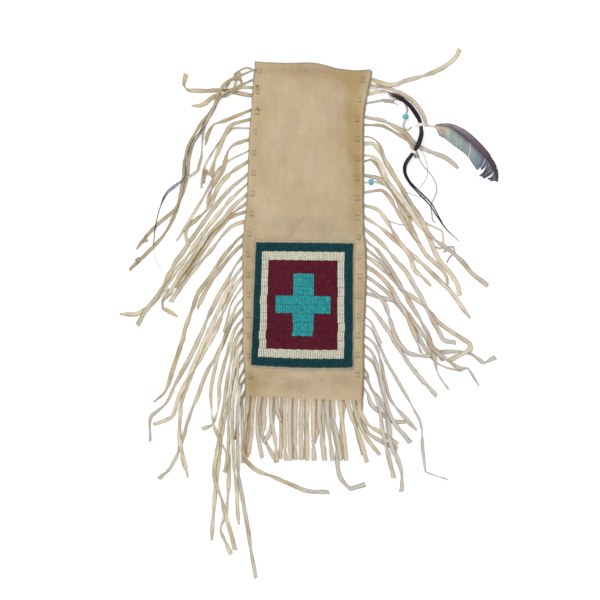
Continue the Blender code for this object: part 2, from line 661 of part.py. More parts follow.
def panel(name, strands, shift, mouth_drop, under, over, columns, colour):
    """A hide panel with its slits and its cut fringe, in one piece."""
    outline, roots = panel_outline(strands, shift, mouth_drop)
    loops = [outline] + slit_loops()
    first = sum(len(loop) for loop in loops)
    points = []
    lines = []
    for column in columns:
        start = first + len(points)
        points += column
        lines += [(start + i, start + i + 1) for i in range(len(column) - 1)]
    open_edges = {(i, i + 1) for i in roots}
    body, tops, lows = slab(loops, under, over, points, lines, points, lines, open_edges=open_edges)
    for number, ((place, route), i) in enumerate(zip(strands, roots)):
        x = place * ACROSS
        base = Ring(x, root_y(x), STRAND_WIDTH, HIDE, under(x, root_y(x)))
        rings = [base] + strip_rings(moved(route, x - place, -UPWARD), STRAND_WIDTH, HIDE)
        set_ends(rings)
        settle(rings, name + str(number))
        rows = [[lows[i], lows[i + 1], tops[i + 1], tops[i]]]
        rows += [[body.verts.new(corner) for corner in ring.section()] for ring in rings[1:]]
        skin_between(body, rows)
        body.faces.new(list(reversed(rows[-1])))
    return finish(body, name, colour)


def front_columns():
    return [[(x, y) for y in ROWS] for x in COLUMNS]


def back_columns():
    inner = MARGIN + BACK_RAMP
    rows = [y * DOWN for y in (185.0, 130.0, 60.0, 0.0, -20.0, -100.0, -160.0, -195.0)]
    ramps = [[(edge_x(side, y) - side * inner, y) for y in rows] for side in (-1, 1)]
    low = FULL_HEIGHT_END - 15
    return ramps + [[(edge_x(side, low) - side * (MARGIN - CLEAR), low)] for side in (-1, 1)]


# Lacing

def tail_rings(side, points, corner):
    """A tail's sections, the first of them low down where the strip comes out from under the bag."""
    placed = [(side * point[0], *point[1:]) for point in points]
    first = placed[0]
    edge = edge_x(side, first[1]) + side * EXIT_REACH + max(0.0, side * BACK_SHIFT)
    share = (edge - corner[0]) / (first[0] - corner[0])
    wide = first[2] if len(first) > 2 else THONG_WIDTH
    start = (edge, corner[1] + (first[1] - corner[1]) * share, wide, 0.0)
    return strip_rings([start] + placed, THONG_WIDTH, THONG_THICK)


class Thong:
    """One lacing thong: two tails, and between them two legs and the stitch on the front."""

    def __init__(self, side, number, tails):
        self.side = side
        self.name = ("left" if side < 0 else "right") + "_thong_%02d" % (number + 1)
        self.x = stitch_x(side, number)
        self.y = stitch_y(side, number)
        self.tails = []
        for turn, points in zip((1, -1), tails):
            corner = (self.x, self.y + turn * TURN_OFFSET)
            drift = self.y - stitch_y(side, number, TABLE_LENGTH)
            rings = tail_rings(side, moved(points, OUTWARD, drift), corner)
            set_ends(rings, corner)
            self.tails.append((turn, rings))
            ends = self.corner_ends(turn)
            owner = self.name + str(turn)
            lay_down(ends, rings[0].ends, THONG_THICK, owner)
            foot = self.y + turn * (STITCH_LENGTH - THONG_THICK) / 2
            half = THONG_WIDTH / 2
            lay_down(((self.x - half, foot), (self.x + half, foot)), ends, THONG_THICK, owner)

    def corner_ends(self, turn):
        """Ends in plan of the fold where the strip turns outwards under the bag."""
        half = THONG_WIDTH / 2
        y = self.y + turn * TURN_OFFSET
        lean = -self.side * turn * half
        return (self.x - half, y - lean), (self.x + half, y + lean)

    def fold(self, turn, z):
        """Corners of the section where the strip turns between lying flat and passing through the slits."""
        half = THONG_WIDTH / 2
        thick = THONG_THICK / 2
        y = self.y + turn * STITCH_LENGTH / 2
        low = (y - turn * thick, z - thick)
        high = (y + turn * thick, z + thick)
        return [(self.x - half, *low), (self.x + half, *low), (self.x + half, *high), (self.x - half, *high)]

    def sections(self):
        parts = []
        (_, upper), (_, lower) = self.tails
        for ring in reversed(upper):
            under0, under1, over1, over0 = ring.section()
            parts.append([under1, under0, over0, over1])
        for turn in (1, -1):
            (x0, y0), (x1, y1) = self.corner_ends(turn)
            corner = [(x0, y0, 0), (x1, y1, 0), (x1, y1, THONG_THICK), (x0, y0, THONG_THICK)]
            foot = self.fold(turn, THONG_THICK / 2)
            head = self.fold(turn, LEG_TOP)
            parts += [corner, foot, head] if turn > 0 else [head, foot, corner]
        for ring in lower:
            parts.append(ring.section())
        return parts

    def build(self):
        body = bmesh.new()
        loft(body, self.sections())
        return finish(body, self.name, THONG_TAN)


# Beads, hair, feather and the other small things

def tube(name, start, end, outside, hole, sides, colour, roughness):
    """A short tube between two points."""
    run = Vector(end) - Vector(start)
    across = run.cross(Vector((0, 0, 1))).normalized()
    up = across.cross(run).normalized()
    body = bmesh.new()
    rings = []
    for spot, size in ((start, outside), (end, outside), (end, hole), (start, hole)):
        ring = []
        for i in range(sides):
            angle = 2 * math.pi * (i + 0.5) / sides
            offset = across * math.cos(angle) + up * math.sin(angle)
            ring.append(body.verts.new(Vector(spot) + offset * size / 2))
        rings.append(ring)
    skin_between(body, rings + [rings[0]])
    return finish(body, name, colour, roughness)


def between(first, second, length):
    """Two points about the middle of a run, a set length apart."""
    start = Vector(first)
    end = Vector(second)
    middle = (start + end) / 2
    half = (end - start).normalized() * length / 2
    return middle - half, middle + half


def pony_bead(name, rings, at):
    """A bead on the strip between two of its rings."""
    first = (rings[at].x, rings[at].y, rings[at].z + rings[at].height / 2)
    second = (rings[at + 1].x, rings[at + 1].y, rings[at + 1].z + rings[at + 1].height / 2)
    start, end = between(first, second, PONY_LENGTH)
    return tube(name, start, end, PONY_BEAD, PONY_HOLE, 8, TURQUOISE, 0.2)


def bead_footprint(rings, at, owner):
    """Keeps the place of a bead free for it before the strips are laid."""
    first = rings[at]
    second = rings[at + 1]
    nx, ny = unit(first.y - second.y, second.x - first.x)
    half = PONY_BEAD / 2
    ends = [((r.x - nx * half, r.y - ny * half), (r.x + nx * half, r.y + ny * half)) for r in (first, second)]
    lay_down(ends[0], ends[1], PONY_BEAD, owner)


def laid_strip(name, points, width, height, colour):
    rings = strip_rings(points, width, height)
    set_ends(rings)
    settle(rings, name)
    body = bmesh.new()
    loft(body, [ring.section() for ring in rings])
    return finish(body, name, colour), rings


def hair_lock():
    """The lock as a tapering six-sided body, narrowed where the thread ties hold it."""
    waists = {at + step for _, at in HAIR_TIES for step in (0, 1)}
    rings = []
    route = moved(HAIR, OUTWARD, UPWARD)
    for i, (x, y, size) in enumerate(route):
        stand = TIE_OUTSIDE if i in waists else size
        rings.append(Ring(x, y, stand, stand))
    set_ends(rings)
    settle(rings, "horsehair_lock")
    body = bmesh.new()
    sections = []
    for ring, (_, _, size) in zip(rings, route):
        (x0, y0), (x1, y1) = ring.ends
        ax, ay = (x1 - x0) / ring.width * size / 2, (y1 - y0) / ring.width * size / 2
        middle = ring.z + ring.height / 2
        section = []
        for i in range(6):
            angle = 2 * math.pi * (i + 0.5) / 6
            reach = math.cos(angle)
            section.append((ring.x + ax * reach, ring.y + ay * reach, middle + math.sin(angle) * size / 2))
        sections.append(section)
    loft(body, sections)
    finish(body, "horsehair_lock", BLACK, 0.5)
    for name, at in HAIR_TIES:
        first, second = [(r.x, r.y, r.z + r.height / 2) for r in rings[at:at + 2]]
        start, end = between(first, second, TIE_LENGTH)
        hole = route[at][2] + 2 * CLEAR
        tube("hair_tie_" + name, start, end, TIE_OUTSIDE, hole, 6, WHITE, 0.8)


def feather():
    """Shaft and vanes in one body; the vanes are thin and the shaft stands proud along the middle."""
    rings = []
    route = moved(FEATHER, OUTWARD, UPWARD)
    for x, y, outer, inner in route:
        rings.append(Ring(x, y, 2, SHAFT_THICK))
    set_ends(rings)
    normals = [((r.ends[1][0] - r.ends[0][0]) / 2, (r.ends[1][1] - r.ends[0][1]) / 2) for r in rings]
    for ring, (x, y, outer, inner), (nx, ny) in zip(rings, route, normals):
        ring.ends = ((x - nx * inner, y - ny * inner), (x + nx * outer, y + ny * outer))
    settle(rings, "feather")
    body = bmesh.new()
    sections = []
    for ring in rings:
        (x0, y0), (x1, y1) = ring.ends
        low = ring.z + (SHAFT_THICK - VANE_THICK) / 2
        sections.append([(x0, y0, low), (ring.x, ring.y, ring.z), (x1, y1, low), (x1, y1, low + VANE_THICK),
                         (ring.x, ring.y, ring.z + SHAFT_THICK), (x0, y0, low + VANE_THICK)])
    loft(body, sections)
    return finish(body, "feather", FEATHER_GREY, 0.7)


# Bead panel

def bead_corners():
    half_width = BEADWORK_WIDTH / 2
    half_height = LANES * LANE_PITCH / 2
    corners = []
    for (right, up), (lean_x, lean_y) in zip(((-1, 1), (1, 1), (1, -1), (-1, -1)), BEAD_LEANS):
        corners.append((BEAD_SHIFT + right * half_width + lean_x, BEAD_MIDDLE + up * half_height + lean_y))
    return corners


def bead_place(px, py):
    """Turns a place in the bead work, measured from its top left corner, into the bag's frame."""
    across = px / BEADWORK_WIDTH
    down = -py / (LANES * LANE_PITCH)
    (ax, ay), (bx, by), (cx, cy), (dx, dy) = bead_corners()
    top = (ax + (bx - ax) * across, ay + (by - ay) * across)
    low = (dx + (cx - dx) * across, dy + (cy - dy) * across)
    return top[0] + (low[0] - top[0]) * down, top[1] + (low[1] - top[1]) * down


def column_place(column, py):
    """Where a column of the bag's frame crosses a line of the bead work."""
    left = bead_place(0, py)[0]
    right = bead_place(BEADWORK_WIDTH, py)[0]
    return BEADWORK_WIDTH * (column - left) / (right - left)


def shrink(loop):
    """Moves every side of a square-cornered outline towards its material by half the gap between fields."""
    moved = []
    for i, (x, y) in enumerate(loop):
        for (x0, y0), (x1, y1) in ((loop[i - 1], loop[i]), (loop[i], loop[(i + 1) % len(loop)])):
            nx, ny = unit(y0 - y1, x1 - x0)
            x += nx * FIELD_GAP / 2
            y += ny * FIELD_GAP / 2
        moved.append((x, y))
    return moved


def cut_sides(loop):
    """Adds a point wherever a side crosses a lane line or a column; marks the column points."""
    points = []
    marked = {}
    half_lane = LANE_PITCH / 2
    for p, q in zip(loop, loop[1:] + loop[:1]):
        points.append(p)
        cuts = []
        if abs(p[1] - q[1]) < 1e-6:
            low, high = sorted((p[0], q[0]))
            for number, column in enumerate(COLUMNS):
                x = column_place(column, p[1])
                if low + 0.4 < x < high - 0.4:
                    cuts.append((x, p[1], number))
            cuts.sort(reverse=q[0] < p[0])
        else:
            low, high = sorted((p[1], q[1]))
            for line in range(2 * LANES + 1):
                y = -line * half_lane
                if low + 1 < y < high - 1:
                    cuts.append((p[0], y, None))
            cuts.sort(key=lambda cut: cut[1], reverse=q[1] < p[1])
        for x, y, number in cuts:
            if number is not None:
                marked[len(points)] = number
            points.append((x, y))
    return points, marked


def side_of(start, end, spot):
    return (end[0] - start[0]) * (spot[1] - start[1]) - (end[1] - start[1]) * (spot[0] - start[0])


def open_run(start, end, loops):
    """True where the straight run between two points stays in the material, off its edges."""
    middle = mix(start, end, 0.5)
    if not in_material(middle, loops) or distance_to(middle, loops) < 0.05:
        return False
    for loop in loops:
        for p, q in zip(loop, loop[1:] + loop[:1]):
            apart = side_of(start, end, p) * side_of(start, end, q) > -1e-6
            if not apart and side_of(p, q, start) * side_of(p, q, end) < -1e-6:
                return False
    return True


def bead_field(name, outlines, colour):
    """One field of bead work: flat below, a low ridge along each lane above."""
    half_lane = LANE_PITCH / 2
    loops = []
    marked = {}
    for i, corners in enumerate(outlines):
        loop = [(x, -lanes * LANE_PITCH) for x, lanes in corners]
        loop = shrink(loop if i else loop[::-1])
        points, marks = cut_sides(loop)
        first = sum(len(done) for done in loops)
        marked.update({first + k: number for k, number in marks.items()})
        loops.append(points)
    rim = [point for loop in loops for point in loop]
    points = []
    for line in range(1, 2 * LANES):
        for column in COLUMNS:
            y = -line * half_lane
            spot = (column_place(column, y), y)
            if in_material(spot, loops) and distance_to(spot, loops) > 3:
                points.append(spot)
    flat = rim + points
    by_line = {}
    for i, (x, y) in enumerate(flat):
        by_line.setdefault(round(-y / half_lane), []).append(i)
    lines = []
    for numbers in by_line.values():
        numbers.sort(key=lambda i: flat[i][0])
        for a, b in zip(numbers, numbers[1:]):
            if open_run(flat[a], flat[b], loops):
                lines.append((a, b))
    under_lines = []
    for number in range(len(COLUMNS)):
        column = sorted((i for i in marked if marked[i] == number), key=lambda i: flat[i][1])
        for a, b in zip(column, column[1:]):
            if open_run(flat[a], flat[b], loops):
                under_lines.append((a, b))

    def under(x, y):
        return backing_over(x, y) + CLEAR

    def over(px, py, x):
        crest = round(-py / half_lane) % 2
        return backing_over(x, 0) + CLEAR + BEAD_HEIGHT + LANE_CREST * crest

    body, _, _ = slab(loops, under, over, points, lines, (), under_lines, place=bead_place)
    return finish(body, name, colour, 0.35)


def bead_backing():
    """The rectangle of hide that carries the bead work, sewn flat on the front panel."""
    side = BACKING_SIDE
    (ax, ay), (bx, by), (cx, cy), (dx, dy) = bead_corners()
    columns = [x for x in COLUMNS if max(ax, dx) + side < x < min(bx, cx) - side]
    low = [(dx - side, dy - BACKING_END)]
    low += [(x, dy - BACKING_END + (cy - dy) * (x - dx) / (cx - dx)) for x in columns]
    low += [(cx + side, cy - BACKING_END)]
    high = [(bx + side, by + BACKING_END)]
    high += [(x, ay + BACKING_END + (by - ay) * (x - ax) / (bx - ax)) for x in reversed(columns)]
    high += [(ax - side, ay + BACKING_END)]
    loop = low + high
    count = len(columns)
    lines = [(1 + i, len(loop) - 2 - i) for i in range(count)]
    body, _, _ = slab([loop], backing_under, backing_over, (), lines, (), lines)
    return finish(body, "bead_backing", TAN)


def main():
    for old in list(bpy.data.objects):
        bpy.data.objects.remove(old, do_unlink=True)
    thongs = []
    for side, tables in ((-1, LEFT_TAILS), (1, RIGHT_TAILS)):
        for number, tails in enumerate(tables[:THONGS_PER_SIDE]):
            thongs.append(Thong(side, number, tails))
    beaded = thongs[THONGS_PER_SIDE + LOWER_BEAD_THONG - 1].tails[1][1]
    bead_footprint(beaded, LOWER_BEAD_AT, thongs[THONGS_PER_SIDE + LOWER_BEAD_THONG - 1].name + "-1")
    bead_strip = strip_rings(moved(BEAD_THONG, OUTWARD, UPWARD), THONG_WIDTH, THONG_THICK)
    bead_footprint(bead_strip, UPPER_BEAD_AT, "bead_thong")
    panel("back_panel", BACK_STRANDS, BACK_SHIFT, BACK_MOUTH_DROP, back_under, back_over, back_columns(), TAN_BACK)
    panel("front_panel", FRONT_STRANDS, 0.0, 0.0, front_under, front_over, front_columns(), TAN)
    for thong in reversed(thongs):
        for turn, rings in reversed(thong.tails):
            settle(rings, thong.name + str(turn))
    for thong in thongs:
        thong.build()
    pony_bead("pony_bead_lower", beaded, LOWER_BEAD_AT)
    bead_backing()
    for name, outlines, colour in FIELDS:
        bead_field(name, outlines, colour)
    laid_strip("spare_thong", moved(SPARE_THONG, -OUTWARD, UPWARD), THONG_WIDTH, THONG_THICK, THONG_TAN)
    laid_strip("blue_quill", moved(BLUE_QUILL, -OUTWARD, UPWARD), QUILL_WIDTH, QUILL_THICK, BLUE_BLACK)
    bead_route = moved(BEAD_THONG, OUTWARD, UPWARD)
    _, rings = laid_strip("bead_thong", bead_route, BEAD_THONG_WIDTH, THONG_THICK, THONG_TAN)
    pony_bead("pony_bead_upper", rings, UPPER_BEAD_AT)
    hair_lock()
    feather()


main()
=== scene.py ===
# Looks of a hide pipe bag lying flat: laced panels, thong fringe, bead panel, horsehair lock and feather.
# Lengths are in millimetres until a mesh is made; +X right, +Y towards the mouth, +Z up.

import math

import bpy
import numpy as np
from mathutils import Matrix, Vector


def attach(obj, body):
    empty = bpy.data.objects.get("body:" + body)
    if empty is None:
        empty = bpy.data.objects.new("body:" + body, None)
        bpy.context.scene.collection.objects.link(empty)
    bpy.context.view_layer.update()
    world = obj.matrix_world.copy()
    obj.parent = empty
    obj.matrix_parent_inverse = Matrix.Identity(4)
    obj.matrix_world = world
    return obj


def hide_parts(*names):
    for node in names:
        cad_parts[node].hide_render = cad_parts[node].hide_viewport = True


MM = 0.001
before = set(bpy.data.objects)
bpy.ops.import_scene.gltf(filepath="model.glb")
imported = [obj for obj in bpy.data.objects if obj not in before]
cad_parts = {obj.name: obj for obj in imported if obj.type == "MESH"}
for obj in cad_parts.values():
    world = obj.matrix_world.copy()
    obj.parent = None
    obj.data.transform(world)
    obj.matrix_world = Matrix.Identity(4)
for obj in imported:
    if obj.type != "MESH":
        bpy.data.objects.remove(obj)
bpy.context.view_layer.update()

# Sizes of the solids that the looks are fitted to
BAG_WIDTH = 146.0
BODY_LENGTH = 414.0
HIDE = 1.2
CLEAR = 0.3
POCKET_RISE = 6.0
MIDDLE_RISE = 8.0
MOUTH_RISE = 10.0
BACK_SHIFT = 1.5
BACK_MOUTH_DROP = 2.0
THONGS_PER_SIDE = 16
THONG_WIDTH = 5.2
THONG_THICK = 1.1
STITCH_INSET = 7.0
STITCH_LENGTH = 5.0
SLIT_LENGTH = 5.8
SLIT_AT = STITCH_LENGTH / 2 + 0.35
TURN_OFFSET = 5.8
EXIT_REACH = 1.5
EXIT_EASE = 0.5
TOP_INSETS = {-1: 9.0, 1: 20.0}
END_INSETS = {-1: 24.0, 1: 26.0}
STRAND_WIDTH = 5.6
LONG_STRAND = 5
ROOT_TILT = 6.0
ROOT_SAG = 1.2
PONY_LENGTH = 6.0
PONY_BEAD = 7.6
PONY_HOLE = 1.7
UPPER_BEAD_AT = 3
LOWER_BEAD_AT = 1
LOWER_BEAD_THONG = 6
MOUTH_Y = BODY_LENGTH / 2
LIFT = THONG_THICK + CLEAR
MARGIN = STITCH_INSET + SLIT_LENGTH / 2
BACK_RAMP = 10.0
BODY_END = -MOUTH_Y + 1
FULL_HEIGHT_END = -MOUTH_Y + 24
LEG_TOP = LIFT + HIDE + CLEAR + HIDE + CLEAR + THONG_THICK / 2
CROWN_HALF = 55.0
COLUMNS = [-55.0, -43.0, -21.5, 0.0, 21.5, 43.0, 55.0]
BACKING_RISES = [(column, POCKET_RISE * max(0.0, 1 - (column / CROWN_HALF) ** 2)) for column in COLUMNS]
SLACK_START = -8.2
RISES = [(SLACK_START, POCKET_RISE), (120.0, MIDDLE_RISE), (MOUTH_Y, MOUTH_RISE)]

# Bead panel; its fields are given by left, right, top and low, the last two in lanes
BEAD_CORNERS = [(-63.6, -15.5), (57.5, -16.8), (57.0, -171.6), (-70.0, -168.6)]
BEADWORK_WIDTH = 121.0
LANES = 14
LANE_PITCH = 11.1
LANE_FILL = 0.955
LANE_CREST = 0.68
STRINGS = 58
BEADS_PER_STRING = 8
BEAD_RADIUS = 1.05
BEAD_SPREAD = 0.03
BEAD_SIDES = 8
BEAD_RINGS = [(-0.665, 0.55), (-0.5, 0.95), (0.5, 0.95), (0.665, 0.55)]
BEAD_SAG = 1.6
BACKING_SIDE = 0.8
BACKING_END = 2.0
BACKING_LAP = 0.6
FIELDS = [("turquoise_cross", 48.35, 72.05, 3.5, 10.5), ("turquoise_cross", 26.7, 93.7, 6, 8),
          ("maroon_field", 16.8, 102.5, 2, 12), ("cream_border", 8, 111.3, 1, 13)]

# Fineness of the meshes
EDGE_SOFT = 7.0
MOUTH_SOFT = 5.0
FLOOR_GAP = 0.03
BACK_ROWS = 120
FRONT_ROWS = 190
ROW_LEAST = 0.35
ROW_CLOSE = 0.45
TOP_ROWS = (0.0, 0.4, 1.2)
LOW_ROWS = np.arange(-177.0, -171.0, 0.7)
RIM_COLUMNS = (0.5, 1.5)
COLUMN_GAP = 2.2
COLUMN_LEAST = 0.3
STRAND_QUADS = 4
STRAND_STEP = 2.0
STRIP_STEP = 2.2
BACKING_GRID = (62, 80)
KINKS = 40
HAIRS = 240
HAIR_STEP = 4.0
THREAD_STEP = 1.2
SHAFT_STEP = 0.55
PONY_SIDES = 28
BARBS = 300
BARB_STEPS = 6

# How the hide lies: its rounded rim, its slits, its strips, and the calm stretch under the bead work
RIM_DROP = 0.35
RIM_REACH = 0.6
# Start and width of a panel's darker rim: darker cut edges, and painted shade along the rim
RIM_START = 0.5
RIM_DARK = 1.2
UNDER_SHARE = 0.92
SLIT_HALF = 3.6
SLIT_END = 1.2
SLIT_GAPE = 0.8
SLIT_PUCKER = 0.75
STITCH_PUCKER = 0.25
SHARP_TURN = 0.75
STRIP_SEAT = 0.12
STRIP_WANDER = 0.7
TIP_RUN = 12
CUT_RUN = 3
CUT_SLANT = 1.2
STITCH_SEAT = 0.55
STRAND_RUN = 12
STRAND_SEAT = 0.1
STRAND_LEAST = 0.7
STRAND_CUT = 0.5
KNOT_THICK = 0.9
CALM_LEFT = -78
CALM_RIGHT = 66
CALM_LOW = -184
CALM_TOP = -4

# Hair, ties, feather, quill and threads
HAIR_RADIUS = 0.3
HAIR_FILL = 0.96
HAIR_FAN = 5.2
HAIR_STOPS = (0.58, 0.95)
WHOLE_HAIRS = 0.05
SPLAY_START = 105
SPLAY_STOP = 8
BUNDLES = (0.9, -2.1)
TIE_TURNS = 4.2
TIE_STEPS = 18
TIE_RISE = 0.85
TIE_RADIUS = 0.56
TIE_END_RADIUS = 0.6
VANE_START = 12.5
SHAFT_RADIUS = 0.85
SHAFT_SEAT = 0.8
RAGGED_FROM = 0.62
LOOSE_FROM = 0.66
BARB_WIDTHS = (0.42, 0.3)
QUILL_WIDTH = 3.0
QUILL_THICK = 0.8
BEAD_THONG_WIDTH = 3.0
THREAD_SEAT = 0.05

# Tones of the hide, painted shade of knots, folds and the bead rim, and the section of a strip: places across
# and up, and the painted shade of its edges and underside
PANEL_TONE = 0.25
PANEL_HUE = 0.5
STITCH_TONE = 0.1
KNOT_SHADE = 0.2
FOLD_SHADE = 0.8
RIM_SHADE = 0.9
MARK_HALF = 1.1
PROFILE_SIDE = np.array([-1.0, -0.9, -0.45, 0.0, 0.45, 0.9, 1.0, 0.84, 0.0, -0.84])
PROFILE_HIGH = np.array([0.45, 0.85, 1.0, 1.0, 1.0, 0.85, 0.45, 0.08, 0.0, 0.08])
PROFILE_EDGE = np.array([1.0, 0.42, 0.0, 0.0, 0.0, 0.42, 1.0, 1.0, 1.0, 1.0])

# Camera, light and floor
CENTRE = (-8.75, -87.5)
FRAME_WIDTH = 750.0
CAMERA_HEIGHT = 2600.0
SENSOR = 36.0
SKY_STRENGTH = 0.66
LAMPS = [("key_light", (-0.9, 1.0, 1.7), 1.1, 17), ("fill_light", (1.2, -0.7, 1.5), 1.4, 6)]
LAMP_AIM = (0, -0.08, 0)
FLOOR_COLOUR = (0.5, 0.5, 0.5, 1)
FLOOR_GLOW = 0.62
FLOOR_HALF = 4.0
FLOOR_DROP = 0.0003

# Added width of the panels at each side by distance below the mouth, and the mouth's cut
EDGE_CUTS = {
    -1: [(0, -8), (32, -5), (67, -3), (90, -0.5), (144, 1), (187, 3), (207, 6), (227, 8), (307, 7),
         (357, 8), (377, 6), (414, 4)],
    1: [(7, 7), (21, 4), (42, -0.5), (62, -3), (161, -3), (207, -2.5), (221, 0), (257, 0.5), (304, -1),
        (332, -2.5), (383, -2.5), (414, -4)],
}
MOUTH_CUT = [(-65, 3.5), (-57, 2.8), (-44, 1.7), (-23, 0.5), (0, 1), (14, 0), (37, -6), (61, -8),
             (69.5, -7.4), (80, -6.5)]

# Routes of the thongs' tails, of the strands and of what lies on them, as the solids have them
LEFT_TAILS = [
    ([(95, 187), (106, 177), (118, 152), (137, 126), (151, 96), (155, 62), (164, 27), (190, 4), (213, -24)],
     [(99, 179), (112, 158), (129, 129), (146, 96), (151, 62), (161, 29), (178, -4), (203, -31), (222, -50)]),
    ([(84, 177), (100, 168.5), (116, 166), (130, 157), (144, 155)],
     [(84, 170), (104, 174), (135, 174), (149, 174.5), (154, 181), (151, 195)]),
    ([(91, 141), (104, 136), (116, 132), (124, 120), (127, 106)],
     [(93, 131), (102, 121), (108, 104), (116, 84), (121, 67)]),
    ([(93, 126), (108, 112), (119, 96), (128, 78), (132, 52)],
     [(91, 111), (99, 97), (106, 74), (121, 47), (125, 31)]),
    ([(95, 88), (110, 76), (121, 57), (135, 31), (163, -14)],
     [(96, 77), (110, 54), (124, 27), (138, 13), (149, 4), (151, -7), (147, -20)]),
    ([(96, 54), (115, 29), (139, -4), (168, -47), (184, -78), (203, -103), (212, -119)],
     [(90, 47), (104, 28), (124, 3), (150, -33), (171, -62), (190, -89), (212, -105), (234, -105)]),
    ([(90, 35), (101, 17), (118, 0), (142, -33), (171, -76), (180, -89), (180, -98), (162, -108)],
     [(92, 24), (109, 2), (132, -28), (150, -56)]),
    ([(95, 16), (109, 8), (126, -14), (153, -58), (165, -72)],
     [(93, 8), (104, -5), (120, -25), (152, -64), (170, -90)]),
    ([(88, -11), (100, -28), (120, -55), (138, -84), (148, -112), (163, -160), (177, -202), (191, -215)],
     [(88, -22), (100, -38), (119, -64), (137, -98)]),
    ([(89, -41), (100, -64), (118, -96), (132, -130), (161, -186), (176, -216), (195, -233), (196, -264)],
     [(88, -52), (102, -82), (118, -118), (135, -155), (159, -207), (169, -233), (192, -243)]),
    ([(89, -66), (99, -87), (111, -119), (128, -150), (147, -186), (157, -216), (159, -262), (154, -288),
      (149, -309)],
     [(88, -77), (96, -96), (104, -128)]),
    ([(88, -91), (95, -112), (102, -132), (112, -160), (120, -200), (117, -240), (106, -267), (100, -282),
      (103, -303)],
     [(90, -107), (98, -126), (110, -152), (124, -176), (136, -205), (149, -240), (160, -275), (170, -297),
      (185, -311)]),
    ([(88, -117), (94, -136), (101, -158), (109, -190), (111, -222), (118, -243), (131, -249)],
     [(87, -129), (90, -144), (96, -168, 4.6), (101, -200, 4.6), (106, -232, 4.6), (113, -280), (115, -312),
      (105, -343), (96, -376), (90, -400)]),
    ([(87, -142), (89, -156, 4.6), (92, -178, 4.2), (96, -210, 4.2), (98, -245, 4.2), (98, -312), (101, -352),
      (108, -374), (100, -393), (95, -405)],
     [(85, -155, 4.6), (86, -168, 4.2), (88, -190, 4.2), (92, -225, 4.2), (93, -262, 4.2), (90, -305, 4.6),
      (85, -368)]),
    ([(85, -166, 4.6), (91, -184, 4.6), (97, -212, 4.6), (106, -252, 4.6), (110, -290), (118, -362),
      (119, -388)],
     [(84, -178, 4.6), (84, -196, 4.2), (86, -225, 4.2), (87, -262, 4.2), (85, -310), (76, -362),
      (64, -435)]),
    ([(82, -187, 4.6), (84, -204, 4.2), (87, -232, 4.2), (90, -262, 4.2)],
     [(82, -201, 4.6), (80.5, -222, 4.2), (80.5, -255, 4.2), (78, -284), (66, -298), (45, -307), (18, -319),
      (0, -326), (-28, -328)]),
]
RIGHT_TAILS = [
    ([(96, 181.5), (109, 181.5), (122, 187), (150, 194), (170, 203), (184, 214), (191, 226)],
     [(98, 178.5), (113, 173.5), (126, 166), (138, 155), (146, 142), (149.5, 130.3)]),
    ([(96, 173), (107, 170), (118, 163)],
     [(94, 162), (109, 160.5)]),
    ([(95, 136.5), (110, 129.5), (123, 121), (133, 109.5), (147, 101), (172, 90.5), (189, 77, 6.4)],
     [(95, 130), (112, 121), (128, 111), (138, 90)]),
    ([(82, 114.5, 3), (91, 105), (98, 88), (128, 37), (142, 14), (154, -7), (186, -31), (206, -54),
      (226, -70, 6.4)],
     [(82, 108), (90, 99), (101, 80), (130, 32), (144, 12, 3), (159, 4, 2.2), (169, -2, 2), (171, -20, 2)]),
    ([(80, 95.5, 3), (88, 86), (98, 66), (121, 33), (149, -6), (163, -33), (182, -58), (189, -70),
      (191, -82)],
     [(80, 88.5, 3), (89, 80), (99, 61), (113, 41), (129, 17)]),
    ([(92, 69), (104, 52), (118, 28), (138, -12), (149, -31), (163, -44), (173, -57, 3), (176, -68)],
     [(77, 59.6, 2.4), (83, 60, 2.4), (92, 58.5), (102, 54), (114, 40), (132, 12)]),
    ([(93, 50, 3.5), (102, 42), (109, 29), (119, 14), (143, -22)],
     [(89, 29), (97, 16), (112, -11), (128, -32), (134, -49), (146, -60), (155, -70)]),
    ([(96, 0), (112, -14), (128, -28), (168, -65), (188, -88), (204, -110)],
     [(91, -13), (105, -30), (122, -50), (136, -72), (161, -120), (171, -138), (186, -141)]),
    ([(91, -26, 4), (103, -46), (127, -88), (150, -127), (158, -147), (190, -173), (201, -173, 3),
      (215, -195, 3)],
     [(91, -34), (104, -54)]),
    ([(91, -43), (104, -58), (117, -74), (136, -86), (152, -101), (168, -118), (203, -142), (204, -149),
      (178, -163)],
     [(93, -55), (104, -72), (116, -92), (127, -113), (135, -132), (143, -154, 3)]),
    ([(95, -74), (112, -88), (127, -106), (149, -139), (159, -160), (163, -178, 2), (177, -199, 2)],
     [(83, -75), (97, -91), (103, -108), (113, -138), (127, -154), (148, -157), (172, -152.5), (204, -154),
      (221, -166), (236, -159)]),
    ([(82, -81), (98, -86), (113, -93), (124, -106), (144, -142), (157, -161, 3), (171, -171, 2.2),
      (194, -177, 2.2)],
     [(80, -95, 3), (91, -111), (118, -152), (134, -176), (162, -208)]),
    ([(79, -110, 3), (85, -126, 4), (92, -143, 4)],
     [(79, -119, 3), (84, -130, 4), (91, -145, 4.6), (101, -167, 4.6), (124, -207), (142, -243, 3.5),
      (145, -275), (148, -302, 2.4), (176, -312, 2.4)]),
    ([(80, -136, 4), (87, -148, 4.2), (93, -166, 4.2), (98, -190, 4.2), (105, -212, 4.2), (131, -244),
      (137, -250)],
     [(79, -146, 4), (84, -158, 4.2), (90, -178, 4.2), (98, -214, 4.2), (106, -236, 4.6), (129, -266)]),
    ([(79, -158, 4), (86, -172, 4.2), (93, -196, 4.2), (101, -230, 4.2), (103, -257)],
     [(75.5, -171, 4), (77, -191, 4.2), (86, -207, 4.2), (91, -226, 4.2), (93, -246, 4.2), (98, -268),
      (108, -310)]),
    ([(76, -184, 4), (82, -200, 4.2), (93, -214, 4.2), (100, -238, 4.2), (104, -264), (117, -300),
      (118, -327)],
     [(76, -199, 4), (80, -218), (95, -231), (109, -240), (123, -240)]),
]
